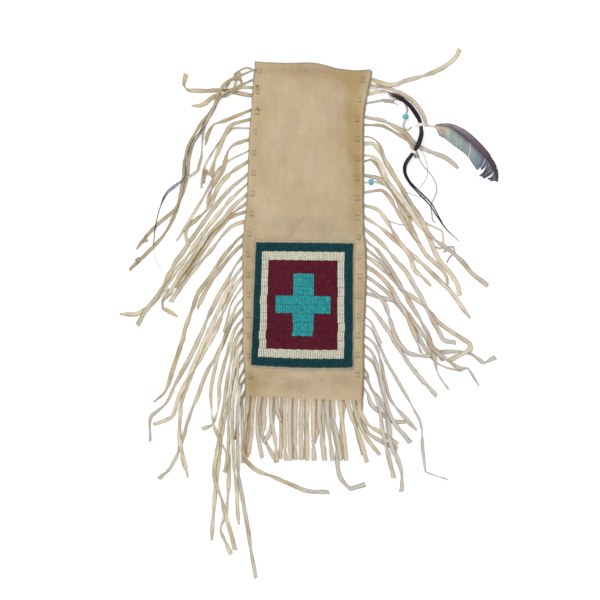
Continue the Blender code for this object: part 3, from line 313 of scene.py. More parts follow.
FRONT_STRANDS = [
    (-73.5, [(-75.5, -232), (-79, -260), (-79.5, -291)]),
    (-66.4, [(-68.8, -232), (-69.8, -254), (-73, -280)]),
    (-59, [(-62, -232), (-61.5, -254), (-56, -285)]),
    (-52, [(-54, -226), (-53.5, -236), (-55, -251)]),
    (-45, [(-45, -232), (-40, -262), (-37, -289)]),
    (-37.8, [(-37, -226), (-32, -239)]),
    (-28.5, [(-28, -234), (-28, -264), (-26.5, -288)]),
    (-21.4, [(-21.8, -234), (-21.4, -264), (-20.4, -288)]),
    (-14.2, [(-14.8, -234), (-15, -262), (-14.2, -287)]),
    (-6.6, [(-7.6, -240), (-7.8, -287)]),
    (0.6, [(0, -240), (0.4, -288)]),
    (7.8, [(8, -240), (8, -264), (9, -288)]),
    (15.4, [(15, -234), (18, -256), (22, -288)]),
    (24.5, [(26, -240), (29, -264), (32, -288)]),
    (32.4, [(34, -240), (39, -266), (42, -288)]),
    (41, [(44, -240), (47, -266), (49, -288)]),
    (49.6, [(56, -234), (64, -254), (75, -290)]),
    (57.4, [(64, -238), (74, -259), (91, -281)]),
    (64.8, [(67, -228), (76, -243), (97, -256), (113, -268)]),
]
BACK_STRANDS = [
    (-71, [(-72.5, -240), (-75, -266), (-75, -284)]),
    (-55.5, [(-59, -232), (-57, -254), (-47, -274), (-38, -291)]),
    (-42, [(-43, -236), (-46, -252), (-54, -266)]),
    (-32, [(-32, -240), (-32, -264), (-34, -286)]),
    (-18, [(-19, -246), (-19, -286)]),
    (-2, [(-1, -246), (-2, -286)]),
    (11, [(11.5, -236), (13, -248), (8, -266)]),
    (20, [(20, -246), (22, -287)]),
    (29, [(32, -240), (37, -268), (38, -292), (42, -310), (54, -323), (73, -318)]),
    (45, [(43, -250), (44, -286)]),
    (58, [(61, -244), (70, -281)]),
    (66, [(68, -232), (76, -253), (94, -265), (113, -274)]),
]
SPARE_THONG = [(-98, 173.5), (-107, 167), (-118, 149), (-128, 127), (-131, 102), (-136, 76), (-150, 65)]
BLUE_QUILL = [(-122, 136), (-129, 127), (-139, 117), (-150, 93), (-153, 66), (-166, 54), (-175, 46, 2.4),
              (-183, 30, 1.2), (-189, 4, 1.2), (-192, -19, 1.2)]
QUILL_SHARES = [0.3, 0.5, 0.55, 0.18, 0.6, 1.25, 1.3, 0.9, 1.0, 1.0]
BEAD_THONG = [(116, 164.5, 3), (122, 158.5, 3), (125, 151, 3), (123.9, 145.5, 2.4), (122.4, 137, 2.4),
              (120, 131, 3.6), (121, 126.5, 2.4), (126, 124.5, 2.2), (131, 129, 2.2)]
# Tails that are rolled up along their whole length: share of the width left, for the upper and lower tail
ROLLED = {
    "left_thong_01": (0.8, 0.82), "left_thong_04": (0.5, 0.9), "left_thong_05": (0.62, 1.0),
    "left_thong_11": (1.0, 0.5), "left_thong_12": (0.75, 0.9), "left_thong_13": (0.85, 0.9),
    "left_thong_14": (0.9, 0.85), "left_thong_15": (0.9, 0.9), "left_thong_16": (0.85, 0.95),
    "right_thong_02": (1.0, 0.7), "right_thong_13": (1.0, 0.8),
}
# Sharp nips in the strips: place, reach and depth
NIPS = [(-153.5, 177.5, 4.5, 0.65), (-118, 131, 10, 0.4), (-150, -7, 4, 0.5), (-180, -94, 5, 0.55),
        (184, -31, 5, 0.3), (196, -233, 6, 0.3), (-118, -243, 5, 0.55), (201, -173, 5, 0.4),
        (163, -178, 6, 0.4), (-154, 155, 4, 0.3), (208, -160, 6, 0.5), (224, -166, 5, 0.5),
        (-196, -250, 14, 0.6), (-108, -11, 16, 0.5), (80, -197, 12, 0.35), (-84, -90, 10, 0.3),
        (95, 92, 9, 0.4), (-172, -46, 6, 0.3), (-120, -60, 9, 0.25), (-180, -216, 16, 0.55),
        (-158, -242, 12, 0.35), (-161, -278, 5, 0.5), (-151, -302, 4, 0.45), (-120, -222, 10, 0.45),
        (-111, -228, 9, 0.45), (-107, -370, 6, 0.5), (-101, -388, 5, 0.4), (-178, -303, 4, 0.4),
        (-140, 120, 7, 0.45), (-129, 104, 8, 0.4), (-113, 133, 7, 0.45), (165, -308, 14, 0.45)]
# Thongs whose colour stands out: added tone, hue and grey; the darker tone of left_thong_01 partly stands in
# for the shade of its knot
TINTED = {
    "left_thong_01": (-0.75, 0.2, -0.7), "left_thong_03": (-0.2, 0.2, -0.8), "spare_thong": (-0.7, 0.6, -0.3),
    "right_thong_08": (-0.3, 0.0, 0.3), "right_thong_10": (-0.3, 0.0, 0.0),
    "right_thong_11": (-0.1, -0.3, 0.7), "right_thong_12": (-0.1, -0.3, 0.6),
}
# Loops and knots in the tails: width, then places with the height of the underside
KNOTS = {
    "left_thong_01": [
        (3.2, [(-91, 187, 2.4), (-85.5, 189.5, 3.0), (-83, 193.5, 3.4), (-86, 197, 3.0), (-89.5, 194, 2.4),
               (-87.5, 189.5, 4.0), (-82.5, 187, 3.2)]),
        (2.4, [(-86, 191, 2.8), (-88.5, 185, 2.4), (-90.5, 180, 2.2), (-91, 175.5, 2.4)]),
        (2.6, [(-85, 192, 2.6), (-82.4, 186.5, 1.8), (-82, 182, 1.6), (-85, 176.5, 2.2), (-92, 173.5, 3.2),
               (-99, 173, 3.4)]),
        (2.2, [(-69, 201.5, 1.2), (-77, 202.3, 1.6), (-83.5, 199, 2.4), (-88, 194, 3.2)]),
        (2.8, [(-88, 193, 2.6), (-94.5, 187.5, 3.0), (-98.5, 182, 3.0), (-101, 177, 3.4)]),
        (2.4, [(-200, -5, 1.6), (-203, -10, 2.2), (-199, -13, 1.8), (-204, -15, 1.4)]),
        (2.4, [(-209, -34, 1.6), (-214, -37, 2.0), (-211, -41, 1.6)]),
    ],
    "left_thong_03": [
        (2.8, [(-129, 75, 1.3), (-125, 74, 1.8), (-124.6, 70.4, 1.6), (-128, 69, 1.3), (-130.4, 72, 1.6),
               (-127.5, 74.6, 2.4), (-125, 71.5, 2.6), (-128, 66, 1.6), (-129, 58, 0.1)]),
    ],
    "left_thong_06": [
        (2.6, [(-168, -76, 1.6), (-172, -80, 2.2), (-176, -78, 2.2), (-173, -74, 2.6), (-170, -79, 2.6),
               (-175, -84, 1.4)]),
    ],
    "right_thong_01": [
        (2.0, [(78, 186, 1.4), (82, 181, 1.8), (87, 178.5, 2.4), (93, 179, 2.6)]),
        (1.4, [(77, 178, 1.2), (83, 176, 1.8), (90, 178, 2.4)]),
    ],
    "right_thong_02": [
        (1.1, [(92, 161, 1.2), (100, 159.5, 1.3), (108, 158.4, 1.1), (114, 156.5, 0.6)]),
        (0.9, [(94, 163.5, 1.3), (102, 163, 1.3), (110, 162.8, 0.9), (115, 163.6, 0.5)]),
    ],
    "right_thong_04": [
        (1.8, [(160, -21, 1.6), (166, -23, 2.0), (171, -22, 1.6), (173.5, -26.5, 1.2), (170, -27.5, 1.4)]),
        (1.8, [(172, -26, 1.6), (178, -21, 1.4), (183, -21.5, 1.2), (185, -30, 1.2), (179, -33, 1.6),
               (174.5, -41, 1.8)]),
    ],
    "right_thong_11": [
        (3.4, [(154, -144, 2.6), (160, -149, 3.0), (164, -155, 3.2), (158, -158, 3.0), (155, -151, 3.4),
               (163, -150, 3.8), (166, -158, 3.0), (169, -164, 2.0)]),
    ],
}
HAIR = [(102, 170.5, 2.6), (112, 166.5, 4.4), (121, 161.5, 5), (130, 153, 5.4), (138, 142, 6),
        (141.5, 134, 4.4), (142.3, 128.5, 4.4), (142.6, 119, 6), (139, 107, 6.4), (135, 100, 4.4),
        (131.2, 94.6, 4.4), (123, 82, 5.4), (122.5, 71, 5), (129, 59, 4.6), (141, 46.5, 4.4),
        (155, 32, 3.6), (165, 15, 2.2), (174, 1, 1.4), (190, -14, 0.9)]
HAIR_TIES = [
    ("hair_tie_upper", 5, [(-1, 0.9, 4.6), (-1, -0.4, 4.0), (1, -0.8, 4.6), (1, 0.8, 4.2)]),
    ("hair_tie_lower", 9, [(-1, 1.0, 3.0), (1, -1.6, 3.4)]),
]
FEATHER = [(146.5, 131, 0.9, 0.9), (156, 129.6, 1.1, 1.1), (160, 129.2, 2.6, 9.5), (170, 128.8, 4.6, 13),
           (179, 127, 6, 15), (187, 122.5, 7.5, 16), (194, 118, 8.2, 16.5), (200, 113, 8.4, 16),
           (204.6, 108.9, 8.4, 15.5), (208.8, 105, 8.3, 15), (215, 98.8, 8, 16), (220, 93.3, 7.8, 17),
           (225.6, 86.6, 7.4, 18), (230, 80.3, 6.8, 19), (233, 74.6, 5.8, 19), (234.7, 70.4, 4.6, 17),
           (236, 65.6, 3.6, 13), (235.4, 60.5, 3, 8)]

# Loose threads, seen from above, with their diameters
THREADS = [
    ("loose_thread_long", 1.3, [(139, 91), (143, 84), (147, 78), (152, 73), (157, 66), (161, 58), (162, 50),
                                (160, 42), (156, 34), (155, 28), (156, 20), (157, 12), (161, 9)]),
    ("loose_thread_short", 0.8, [(141, 101), (144, 97.5), (148, 89), (150, 81), (150.5, 72), (149, 64),
                                 (145, 58), (140.5, 52)]),
    ("loose_thread_grey", 1.1, [(100, 13), (107, 9.5), (115, 7), (125, 6), (132, 6.5)]),
    ("loose_thread_fine", 0.8, [(118, 50), (122, 48), (126, 46.5), (130, 45), (136, 42.5), (141, 42),
                                (149, 39.5)]),
    ("quill_thread", 0.5, [(-192, -19), (-191.5, -25), (-190.5, -31), (-187, -42), (-181, -51)]),
]

# Small holes, made as painted shade, and dark marks below the bead work: place, reach along x and y, strength
HOLE_SHADE_AND_DARK_MARKS = [
    (-63.8, 198.5, 1.7, 1.9, 1.1), (-62, 179, 2.2, 1.5, 1.2), (-61.5, 150, 1.9, 1.5, 1.1),
    (18, -187.5, 2.2, 1.7, 0.4), (-71, -184, 3.2, 1.6, 0.45), (-25, -185, 7, 1.3, 0.2),
    (48, -184, 6, 1.3, 0.2),
]
# Stains of the hide and thongs, and brown painted shade where thongs cross, knot and lie close, listed in the
# same way
STAINS_AND_SHADE = [
    (61, 150, 10, 60, 0.7), (52, 148, 7, 18, 0.6), (55, 184, 15, 12, 0.8), (62, 68, 8, 58, 0.6),
    (61, 85, 5, 9, 0.7), (59, 110, 5, 8, 0.55), (62, 140, 5, 7, 0.5), (63, 56, 6, 8, 0.4),
    (40, 195, 26, 10, 0.35), (50, 112, 18, 12, 0.35), (-76, -40, 6, 40, 0.5), (-70, -196, 8, 20, 0.7),
    (-52, -192, 16, 5, 0.35), (-70, 20, 6, 30, 0.4), (70, -150, 6, 40, 0.4), (24, 194, 40, 9, 0.4),
    (-40, 199, 30, 6, 0.3), (-50, 150, 18, 24, 0.35), (-62, 110, 12, 40, 0.4), (-20, 196, 30, 8, 0.25),
    (45, 110, 18, 40, 0.3), (-66, -120, 8, 60, 0.35), (66, -90, 7, 70, 0.3), (-62, -190, 12, 14, 0.5),
    (10, 40, 50, 18, 0.25), (-30, 60, 26, 30, 0.2), (58, 20, 12, 26, 0.45), (30, -186, 26, 8, 0.3),
    (157, -138, 7, 17, 0.9), (182, -168, 9, 5, 0.5), (-128, 72, 6, 6, 0.9), (-88, 191, 7, 7, 0.6),
    (-97, 182, 12, 6, 0.5), (-156, -247, 6, 14, 0.5), (-102, -290, 6, 16, 0.45), (-91, -255, 4, 24, 0.7),
    (-78, -275, 5, 14, 0.5), (-66, -228, 9, 14, 0.55), (-74, -252, 5, 20, 0.5), (-36, -232, 5, 14, 0.35),
    (-8, 184, 62, 15, 0.24), (-48, -181, 16, 4, 0.4), (-20, -196, 8, 4, 0.3), (60, 128, 4, 6, 0.6),
    (56, 96, 4, 7, 0.5), (61, 70, 4, 6, 0.5),
]
# Greyer, darker smudges, some of them, the thin lines just below the bead work, painted shade, listed in the
# same way
SMUDGES_AND_SHADE = [
    (0, 202, 50, 8, 0.6), (4, 196, 16, 5, 0.3), (-2, 176, 9, 12, 0.1), (70, 198, 7, 14, 0.6),
    (-20, 150, 10, 25, 0.12), (30, 150, 9, 25, 0.12), (-68, 194, 5, 5, 0.5), (-66, 173, 5, 4, 0.4),
    (-10, 8, 60, 14, 0.35), (35, -2, 40, 8, 0.35), (20, 34, 22, 9, 0.2), (-40, -12, 36, 5, 0.3),
    (40, -13, 36, 5, 0.3), (-70, -60, 6, 50, 0.3), (70, -60, 6, 70, 0.35), (-45, -178, 10, 7, 0.35),
    (10, -176, 60, 2.5, 0.4), (46, -190, 16, 6, 0.3), (-15, -198, 12, 8, 0.25), (-73, -192, 5, 16, 0.45),
    (75, -190, 5, 20, 0.4), (64, 60, 8, 60, 0.15), (-64, -184, 6, 3.5, 0.5), (-8, -189, 12, 2.5, 0.35),
    (24, -182, 14, 2.5, 0.3), (-56, -196, 9, 2.5, 0.35), (60, -198, 7, 3, 0.35),
]
SCRATCH = [(-5, 14), (-10, 8.5), (-15, 2.5), (-20, -6), (-25, -12)]

# Feather: its splits, with their widths, and its colours, the pale one a painted highlight
VIOLET = np.array((0.13, 0.09, 0.125))
DARK_VIOLET = np.array((0.045, 0.03, 0.042))
PALE_HIGHLIGHT = np.array((0.50, 0.44, 0.48))
AQUA = np.array((0.36, 0.455, 0.43))
SLATE = np.array((0.13, 0.19, 0.25))
CREAM = np.array((0.72, 0.59, 0.45))
RUST = np.array((0.42, 0.16, 0.11))
SPLITS = [((203.2, 110.5), 1.9), ((213, 101), 0.7), ((217.5, 96), 1.0), ((222.5, 90.5), 1.5),
          ((228, 83.5), 1.1), ((231, 78.5), 0.8), ((233.5, 73), 1.2)]
QUILL_BASE = np.array((0.62, 0.52, 0.44))
QUILL_END = np.array((0.10, 0.07, 0.09))

# Hide and beads: tints and marks, among them painted shade, base, light and dark colours of the hides, dark
# and light ones of the beads
PINK_TINT = (1.04, 0.945, 0.95, 1)
YELLOW_TINT = (1.0, 1.0, 0.85, 1)
GREY = (0.60, 0.575, 0.52, 1)
STAIN_AND_SHADE_COLOUR = (0.43, 0.30, 0.135, 1)
SMUDGE_AND_SHADE_COLOUR = (0.27, 0.215, 0.15, 1)
SCRATCHED = (0.50, 0.22, 0.16, 1)
SHADED = (0.035, 0.03, 0.028, 1)
EDGE_AND_SHADE = (0.15, 0.125, 0.095, 1)
HIDES = {
    "hide": ((0.515, 0.42, 0.281), (0.74, 0.65, 0.50), (0.42, 0.325, 0.21)),
    "hide_back": ((0.47, 0.39, 0.27), (0.72, 0.62, 0.47), (0.38, 0.30, 0.20)),
    "thong": ((0.50, 0.41, 0.28), (0.84, 0.78, 0.64), (0.44, 0.33, 0.21)),
}
BEADS = {
    "teal_border": ("teal_beads", (0.003, 0.050, 0.062), (0.009, 0.088, 0.102)),
    "cream_border": ("cream_beads", (0.70, 0.68, 0.54), (0.86, 0.84, 0.70)),
    "maroon_field": ("maroon_beads", (0.106, 0.007, 0.021), (0.190, 0.015, 0.038)),
    "turquoise_cross": ("turquoise_beads", (0.018, 0.32, 0.36), (0.06, 0.52, 0.54)),
}
# Marks: attribute, colour and strength. The edge mark is darker cut edges and painted shade at rims, slits,
# folds and undersides; the under mark is painted shade in holes and under the beads
HIDE_MARKS = [("grey", GREY, 0.8), ("stain_and_shade", STAIN_AND_SHADE_COLOUR, 0.9), ("smudge_and_shade", SMUDGE_AND_SHADE_COLOUR, 0.6),
              ("scratch", SCRATCHED, 0.5), ("edge", EDGE_AND_SHADE, 0.62), ("under", SHADED, 0.9)]
THONG_MARKS = [("grey", GREY, 0.85), ("stain_and_shade", STAIN_AND_SHADE_COLOUR, 0.8), ("smudge_and_shade", SMUDGE_AND_SHADE_COLOUR, 0.6), ("edge", EDGE_AND_SHADE, 0.56)]


# Outline and heights

def clamp(share):
    return np.minimum(np.maximum(share, 0.0), 1.0)


def ease(share):
    share = clamp(share)
    return share * share * (3 - 2 * share)


def blend(first, second, share):
    return first * (1 - share) + second * share


def table(pairs, at):
    places, values = zip(*pairs)
    return np.interp(at, places, values)


def soft_table(pairs, at, reach):
    """A table read with its corners rounded over a reach on either side."""
    return sum(table(pairs, at + reach * k / 3) for k in range(-3, 4)) / 7


def edge_x(side, y):
    return side * (BAG_WIDTH / 2 + table(EDGE_CUTS[side], MOUTH_Y - y))


def soft_edge_x(side, y):
    return side * (BAG_WIDTH / 2 + soft_table(EDGE_CUTS[side], MOUTH_Y - y, EDGE_SOFT))


def root_y(x):
    half = BAG_WIDTH / 2
    return -MOUTH_Y - ROOT_TILT * (x + half) / BAG_WIDTH - ROOT_SAG * (1 - (x / half) ** 2)


def stitch_place(side, number):
    pitch = (BODY_LENGTH - TOP_INSETS[side] - END_INSETS[side]) / (THONGS_PER_SIDE - 1)
    y = MOUTH_Y - TOP_INSETS[side] - pitch * number
    return float(edge_x(side, y)) - side * STITCH_INSET, y


def margin_share(x, y):
    inset = np.minimum(x - soft_edge_x(-1, y), soft_edge_x(1, y) - x)
    return ease((MARGIN + BACK_RAMP - inset) / BACK_RAMP)


def closed_share(y):
    """None at the closed lower end, one where the pocket has its full height."""
    return ease((y - BODY_END) / (FULL_HEIGHT_END - BODY_END))


def crown(x, y):
    """Rise of the front panel over the pocket."""
    rise = np.where(y > SLACK_START, table(RISES, y), POCKET_RISE * closed_share(y))
    return rise * np.maximum(0.0, 1 - (x / CROWN_HALF) ** 2)


def back_over(x, y):
    return LIFT * margin_share(x, y) + HIDE


def front_over(x, y):
    body = closed_share(y)
    over = 2 * HIDE + CLEAR + CLEAR * (1 - body) + LIFT * np.maximum(margin_share(x, y), body)
    return over + crown(x, y) + bumps_in_hide(x, y)


def backing_over(x):
    return 3 * HIDE + 2 * CLEAR + LIFT + table(BACKING_RISES, x)


# Meshes

def new_piece(name, points, faces, material, attributes=None, tints=None):
    """A mesh from points in millimetres, with its named values, in place of the solid of the same name."""
    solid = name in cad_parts
    look = name + "_look" if solid else name
    mesh = bpy.data.meshes.new(look)
    mesh.from_pydata((np.asarray(points, float) * MM).tolist(), [], faces)
    mesh.update()
    mesh.polygons.foreach_set("use_smooth", [True] * len(mesh.polygons))
    for key, values in (attributes or {}).items():
        layer = mesh.attributes.new(key, "FLOAT", "POINT")
        layer.data.foreach_set("value", np.asarray(values, np.float32))
    if tints is not None:
        layer = mesh.color_attributes.new("tint", "FLOAT_COLOR", "POINT")
        layer.data.foreach_set("color", np.asarray(tints, np.float32).ravel())
    mesh.materials.append(material)
    piece = bpy.data.objects.new(look, mesh)
    bpy.context.scene.collection.objects.link(piece)
    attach(piece, "root")
    if solid:
        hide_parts(name)
    return piece


def ring_faces(rows, corners, first=0, closed=True):
    """Quads between rows of corners that run round a section, and a face over each end."""
    faces = []
    for row in range(rows - 1):
        a = first + row * corners
        b = a + corners
        for i in range(corners):
            j = (i + 1) % corners
            faces.append((a + i, b + i, b + j, a + j))
    if closed:
        last = first + (rows - 1) * corners
        faces.append(tuple(range(first, first + corners)))
        faces.append(tuple(reversed(range(last, last + corners))))
    return faces


def sheet_faces(rows, columns, open_runs=()):
    """Faces of a sheet whose upper grid of points comes first. Its low edge is left open at some columns."""
    count = rows * columns
    faces = []
    for r in range(rows - 1):
        for c in range(columns - 1):
            a = r * columns + c
            b = a + count
            faces.append((a, a + columns, a + columns + 1, a + 1))
            faces.append((b, b + 1, b + columns + 1, b + columns))
    rim = [*range(columns), *range(2 * columns - 1, count, columns)]
    rim += [*range(count - 2, count - columns - 1, -1), *range(count - 2 * columns, 0, -columns)]
    for a, b in zip(rim, rim[1:] + rim[:1]):
        if min(a, b) - (count - columns) not in open_runs:
            faces.append((a, b, b + count, a + count))
    return faces


def joined(name, parts, material, attributes=None, tints=None):
    """One piece made of several runs of section rows."""
    faces = []
    first = 0
    for rows in parts:
        faces += ring_faces(rows.shape[0], rows.shape[1], first)
        first += rows.shape[0] * rows.shape[1]
    points = np.vstack([rows.reshape(-1, 3) for rows in parts])
    return new_piece(name, points, faces, material, attributes, tints)


def curve_through(points, step):
    """A smooth run through points. Columns after the second are read straight between them."""
    points = np.asarray(points, float)
    plan = points[:, :2]
    gaps = np.maximum(np.linalg.norm(np.diff(plan, axis=0), axis=1), 1e-6)
    slopes = np.zeros_like(plan)
    slopes[1:-1] = (plan[2:] - plan[:-2]) / (gaps[1:] + gaps[:-1])[:, None]
    slopes[0] = (plan[1] - plan[0]) / gaps[0]
    slopes[-1] = (plan[-1] - plan[-2]) / gaps[-1]
    ways = np.diff(plan, axis=0) / gaps[:, None]
    straight = np.maximum(0.0, (ways[1:] * ways[:-1]).sum(axis=1))
    slopes[1:-1] *= np.clip(1.5 * straight - 0.4, 0.05, 1.0)[:, None]
    run = []
    for i, gap in enumerate(gaps):
        count = max(1, math.ceil(gap / step))
        share = np.arange(count)[:, None] / count
        s2 = share * share
        s3 = s2 * share
        spots = plan[i] * (2 * s3 - 3 * s2 + 1) + plan[i + 1] * (3 * s2 - 2 * s3)
        spots += gap * (slopes[i] * (s3 - 2 * s2 + share) + slopes[i + 1] * (s3 - s2))
        run.append(np.hstack([spots, blend(points[i, 2:], points[i + 1, 2:], share)]))
    run = np.vstack(run + [points[-1:]])
    for column in range(2, run.shape[1]):
        padded = np.pad(run[:, column], 1, mode="edge")
        run[:, column] = (padded[:-2] + 2 * padded[1:-1] + padded[2:]) / 4
    return run


def distance_along(run):
    steps = np.linalg.norm(np.diff(run[:, :2], axis=0), axis=1)
    return np.concatenate([[0.0], np.cumsum(steps)])


def units(path):
    """Unit directions along a path in the plane or in space."""
    ahead = np.gradient(path, axis=0)
    return ahead / np.maximum(np.linalg.norm(ahead, axis=1), 1e-9)[:, None]


def directions(run):
    ahead = units(run[:, :2])
    return ahead, np.stack([-ahead[:, 1], ahead[:, 0]], axis=1)


def ripple(distance, generator, lengths):
    """A gentle wander with a size of about one, from a few waves of chosen lengths."""
    total = 0.0
    for length in lengths:
        wave = length * generator.uniform(0.8, 1.25)
        total = total + np.sin(2 * math.pi * (distance / wave + generator.uniform()))
    return total / len(lengths)


# Places of the solids' corners

NODE_POINTS = {
    name: np.array([corner.co for corner in solid.data.vertices]) / MM
    for name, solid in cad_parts.items()
}


def span(name, x, y):
    """Lowest and highest corner of a solid at a place in plan."""
    points = NODE_POINTS[name]
    off = np.hypot(points[:, 0] - x, points[:, 1] - y)
    near = points[off < max(0.1, off.min() + 0.03), 2]
    return near.min(), near.max()


def width_at(point, width):
    return point[2] if len(point) > 2 else width


def way_between(first, second):
    x = second[0] - first[0]
    y = second[1] - first[1]
    size = math.hypot(x, y) or 1.0
    return x / size, y / size


def laid_route(name, points, width, before=None):
    """A route with its solid's widths and heights: rows of x, y, underside and width.

    The solid's sections are mitred at the bends, and both ends of each are looked up."""
    path = ([before] if before else []) + list(points)
    ways = [way_between(first, second) for first, second in zip(path, path[1:])]
    intos = ways if before else ways[:1] + ways
    outs = intos[1:] + ways[-1:]
    rows = []
    for point, into, out in zip(points, intos, outs):
        wide = width_at(point, width)
        share = max(1 + into[0] * out[0] + into[1] * out[1], 1.2)
        ax = -(into[1] + out[1]) / share * wide / 2
        ay = (into[0] + out[0]) / share * wide / 2
        ends = [span(name, point[0] + k * ax, point[1] + k * ay)[0] for k in (-1, 1)]
        rows.append((point[0], point[1], sum(ends) / 2, wide))
    return rows


# Strips of hide

def curl_along(distance, generator, first, least):
    """How flat a strip lies: one is flat, less is rolled up and narrow."""
    flat = 1.05 + 0.12 * ripple(distance, generator, (70.0, 33.0, 17.0))
    grown = ease((distance - generator.uniform(0, 14)) / generator.uniform(16, 55))
    flat = flat * (first + (1 - first) * grown)
    place = generator.uniform(25, 90)
    while place < distance[-1] - 8:
        reach = generator.uniform(3.5, 10)
        depth = generator.uniform(0.2, 0.62)
        flat = flat * (1 - depth * np.exp(-((distance - place) / reach) ** 2))
        place += generator.uniform(40, 110)
    return np.clip(flat, least, 1.16)


def strip_points(route, height, generator, flat_range, tip=0.8, step=STRIP_STEP, slim=1.0):
    """Corners of a limp strip laid along a route, rolled up in places, and how flat it lies."""
    run = curve_through(route, step)
    distance = distance_along(run)
    to_tip = distance[-1] - distance
    across = directions(run)[1]
    kinks = np.append(6, np.cumsum(generator.uniform(9, 24, KINKS)) + 6)
    wander = generator.uniform(-STRIP_WANDER, STRIP_WANDER, KINKS)
    drift = np.interp(distance, kinks, np.append(0, wander))
    run[:, :2] += across * (drift * ease(to_tip / 6))[:, None]
    ahead, across = directions(run)
    flat = curl_along(distance, generator, *flat_range) * slim
    for x, y, reach, depth in NIPS:
        flat = flat * (1 - depth * np.exp(-((run[:, 0] - x) ** 2 + (run[:, 1] - y) ** 2) / reach ** 2))
    width = run[:, 3] * flat * (1 - (1 - tip) * ease((TIP_RUN - to_tip) / TIP_RUN))
    lean = 0.10 * ripple(distance, generator, (46.0, 25.0))[:, None]
    cup = 0.25 * ripple(distance, generator, (60.0, 31.0))[:, None]
    fray = 1 + 0.05 * generator.standard_normal((len(run), 2))
    slant = generator.uniform(-CUT_SLANT, CUT_SLANT) * ease((CUT_RUN - to_tip) / CUT_RUN)
    slant = slant[:, None] * PROFILE_SIDE
    half = PROFILE_SIDE * width[:, None] / 2 * np.where(PROFILE_SIDE < 0, fray[:, :1], fray[:, 1:])
    plan = run[:, None, :2] + across[:, None] * half[:, :, None] + ahead[:, None] * slant[:, :, None]
    bend = cup * (PROFILE_SIDE ** 2 - 0.4) + lean * half
    thick = height * (0.78 + 0.5 * (1 - flat[:, None])) * PROFILE_HIGH
    high = np.maximum(run[:, 2:3] + STRIP_SEAT + thick + bend, FLOOR_GAP)
    return np.concatenate([plan, high[:, :, None]], axis=2), distance, flat


def stitch_colours(rows, distance, generator):
    """Values of the bare stretch of a thong over the front panel, with painted shade at its ends where it
    goes down into the slits.
    """
    tone = np.full(len(rows), STITCH_TONE * generator.uniform(0.2, 2.5))
    hue = np.full(len(rows), generator.uniform(0.1, 0.7))
    shade = np.repeat(ease((np.abs(distance) - 1.9) / 0.5)[:, None], rows.shape[1], axis=1)
    return tone, hue, np.zeros(len(rows)), shade


def tail_colours(name, rows, distance, flat, generator):
    """Values of a loose strip: yellower at the left, greyer low down and at the right, with painted shade on
    its edges and underside, where it is rolled up and along one side of each fold.
    """
    more_tone, more_hue, more_grey = TINTED.get(name, (0.0, 0.0, 0.0))
    x = rows[:, 0, 0]
    y = rows[:, 0, 1]
    low = clamp(-y / 260)
    right = clamp((90 - y) / 120) * (x > 0)
    left = clamp((60 - y) / 100) * (x < 0)
    tone = generator.uniform(0.1, 1.15) + 0.4 * ripple(distance, generator, (80.0, 37.0)) + more_tone
    hue = generator.uniform(0, 1) + 0.5 * ripple(distance, generator, (90.0, 41.0, 22.0)) + more_hue
    hue = hue + 0.35 * clamp(y / 150) + 0.35 * left - 0.25 * right * (1 + low)
    grey = generator.uniform(-1.0, 0.6) + 0.6 * low + 0.4 * ripple(distance, generator, (90.0, 50.0))
    # Rolled-up stretches and knots are greyer as painted shade
    grey = grey + more_grey + 0.7 * np.minimum(1 - flat, 0.4) + 0.55 * right - 0.2 * left * (1 + low)
    turn = ripple(distance, generator, (64.0, 29.0))[:, None] * PROFILE_SIDE
    # Painted shade on the edges and underside, on rolled-up stretches and along one side of each fold
    shade = PROFILE_EDGE * (0.75 + 0.25 * flat[:, None]) + 0.65 * (1 - flat[:, None])
    shade = shade + FOLD_SHADE * np.maximum(turn, 0) * (1 + 0.35 * low + 0.3 * right)[:, None]
    return tone, hue, grey, shade


def strip_piece(parts, name, material, generator):
    found = {"tone": [], "hue": [], "grey": [], "edge": []}
    for rows, distance, flat in parts:
        if flat is None:
            *colours, shade = stitch_colours(rows, distance, generator)
        else:
            *colours, shade = tail_colours(name, rows, distance, flat, generator)
        for key, values in zip(found, colours):
            found[key].append(np.repeat(np.clip(values, 0, 1), rows.shape[1]))
        found["edge"].append(np.clip(shade, 0, 1).ravel())
    parts = [rows for rows, _, _ in parts]
    points = np.vstack([rows.reshape(-1, 3) for rows in parts])
    values = {key: np.concatenate(lists) for key, lists in found.items()}
    # Stains, with brown painted shade at crossings and knots
    values["stain_and_shade"] = spread_of(STAINS_AND_SHADE, points)
    values["smudge_and_shade"] = spread_of(SMUDGES_AND_SHADE, points)
    return joined(name, parts, material, values)


def stitch_rows(side, number, generator):
    """The part of a lacing thong that passes up through the slits, over the front and down again."""
    x, y = stitch_place(side, number)
    half = STITCH_LENGTH / 2
    top = LEG_TOP - 0.95
    path = [(TURN_OFFSET, STITCH_SEAT), (half + 0.9, STITCH_SEAT), (half + 0.15, 0.9), (half - 0.05, 2.0),
            (half - 0.05, 3.6), (half - 0.25, top - 0.3), (half - 0.8, top + 0.05),
            (half - 1.7, top + 0.17), (0.0, top + 0.2)]
    path = np.array(path + [(-along, high) for along, high in reversed(path[:-1])])
    along = path[:, :1]
    high = path[:, 1:]
    ahead = units(path)
    sway = generator.uniform(-0.35, 0.35)
    wide = generator.uniform(0.68, 0.92)
    off = (PROFILE_HIGH - 0.5) * 0.9
    narrow = np.where(np.abs(high - 2.5) < 2.2, 0.86, 1.0)
    rows = [
        x + PROFILE_SIDE * THONG_WIDTH / 2 * narrow * wide + sway * along / half,
        y + along + ahead[:, 1:] * off,
        np.maximum(high - ahead[:, :1] * off, 0.05),
    ]
    return np.stack(rows, axis=2), path[:, 0], None


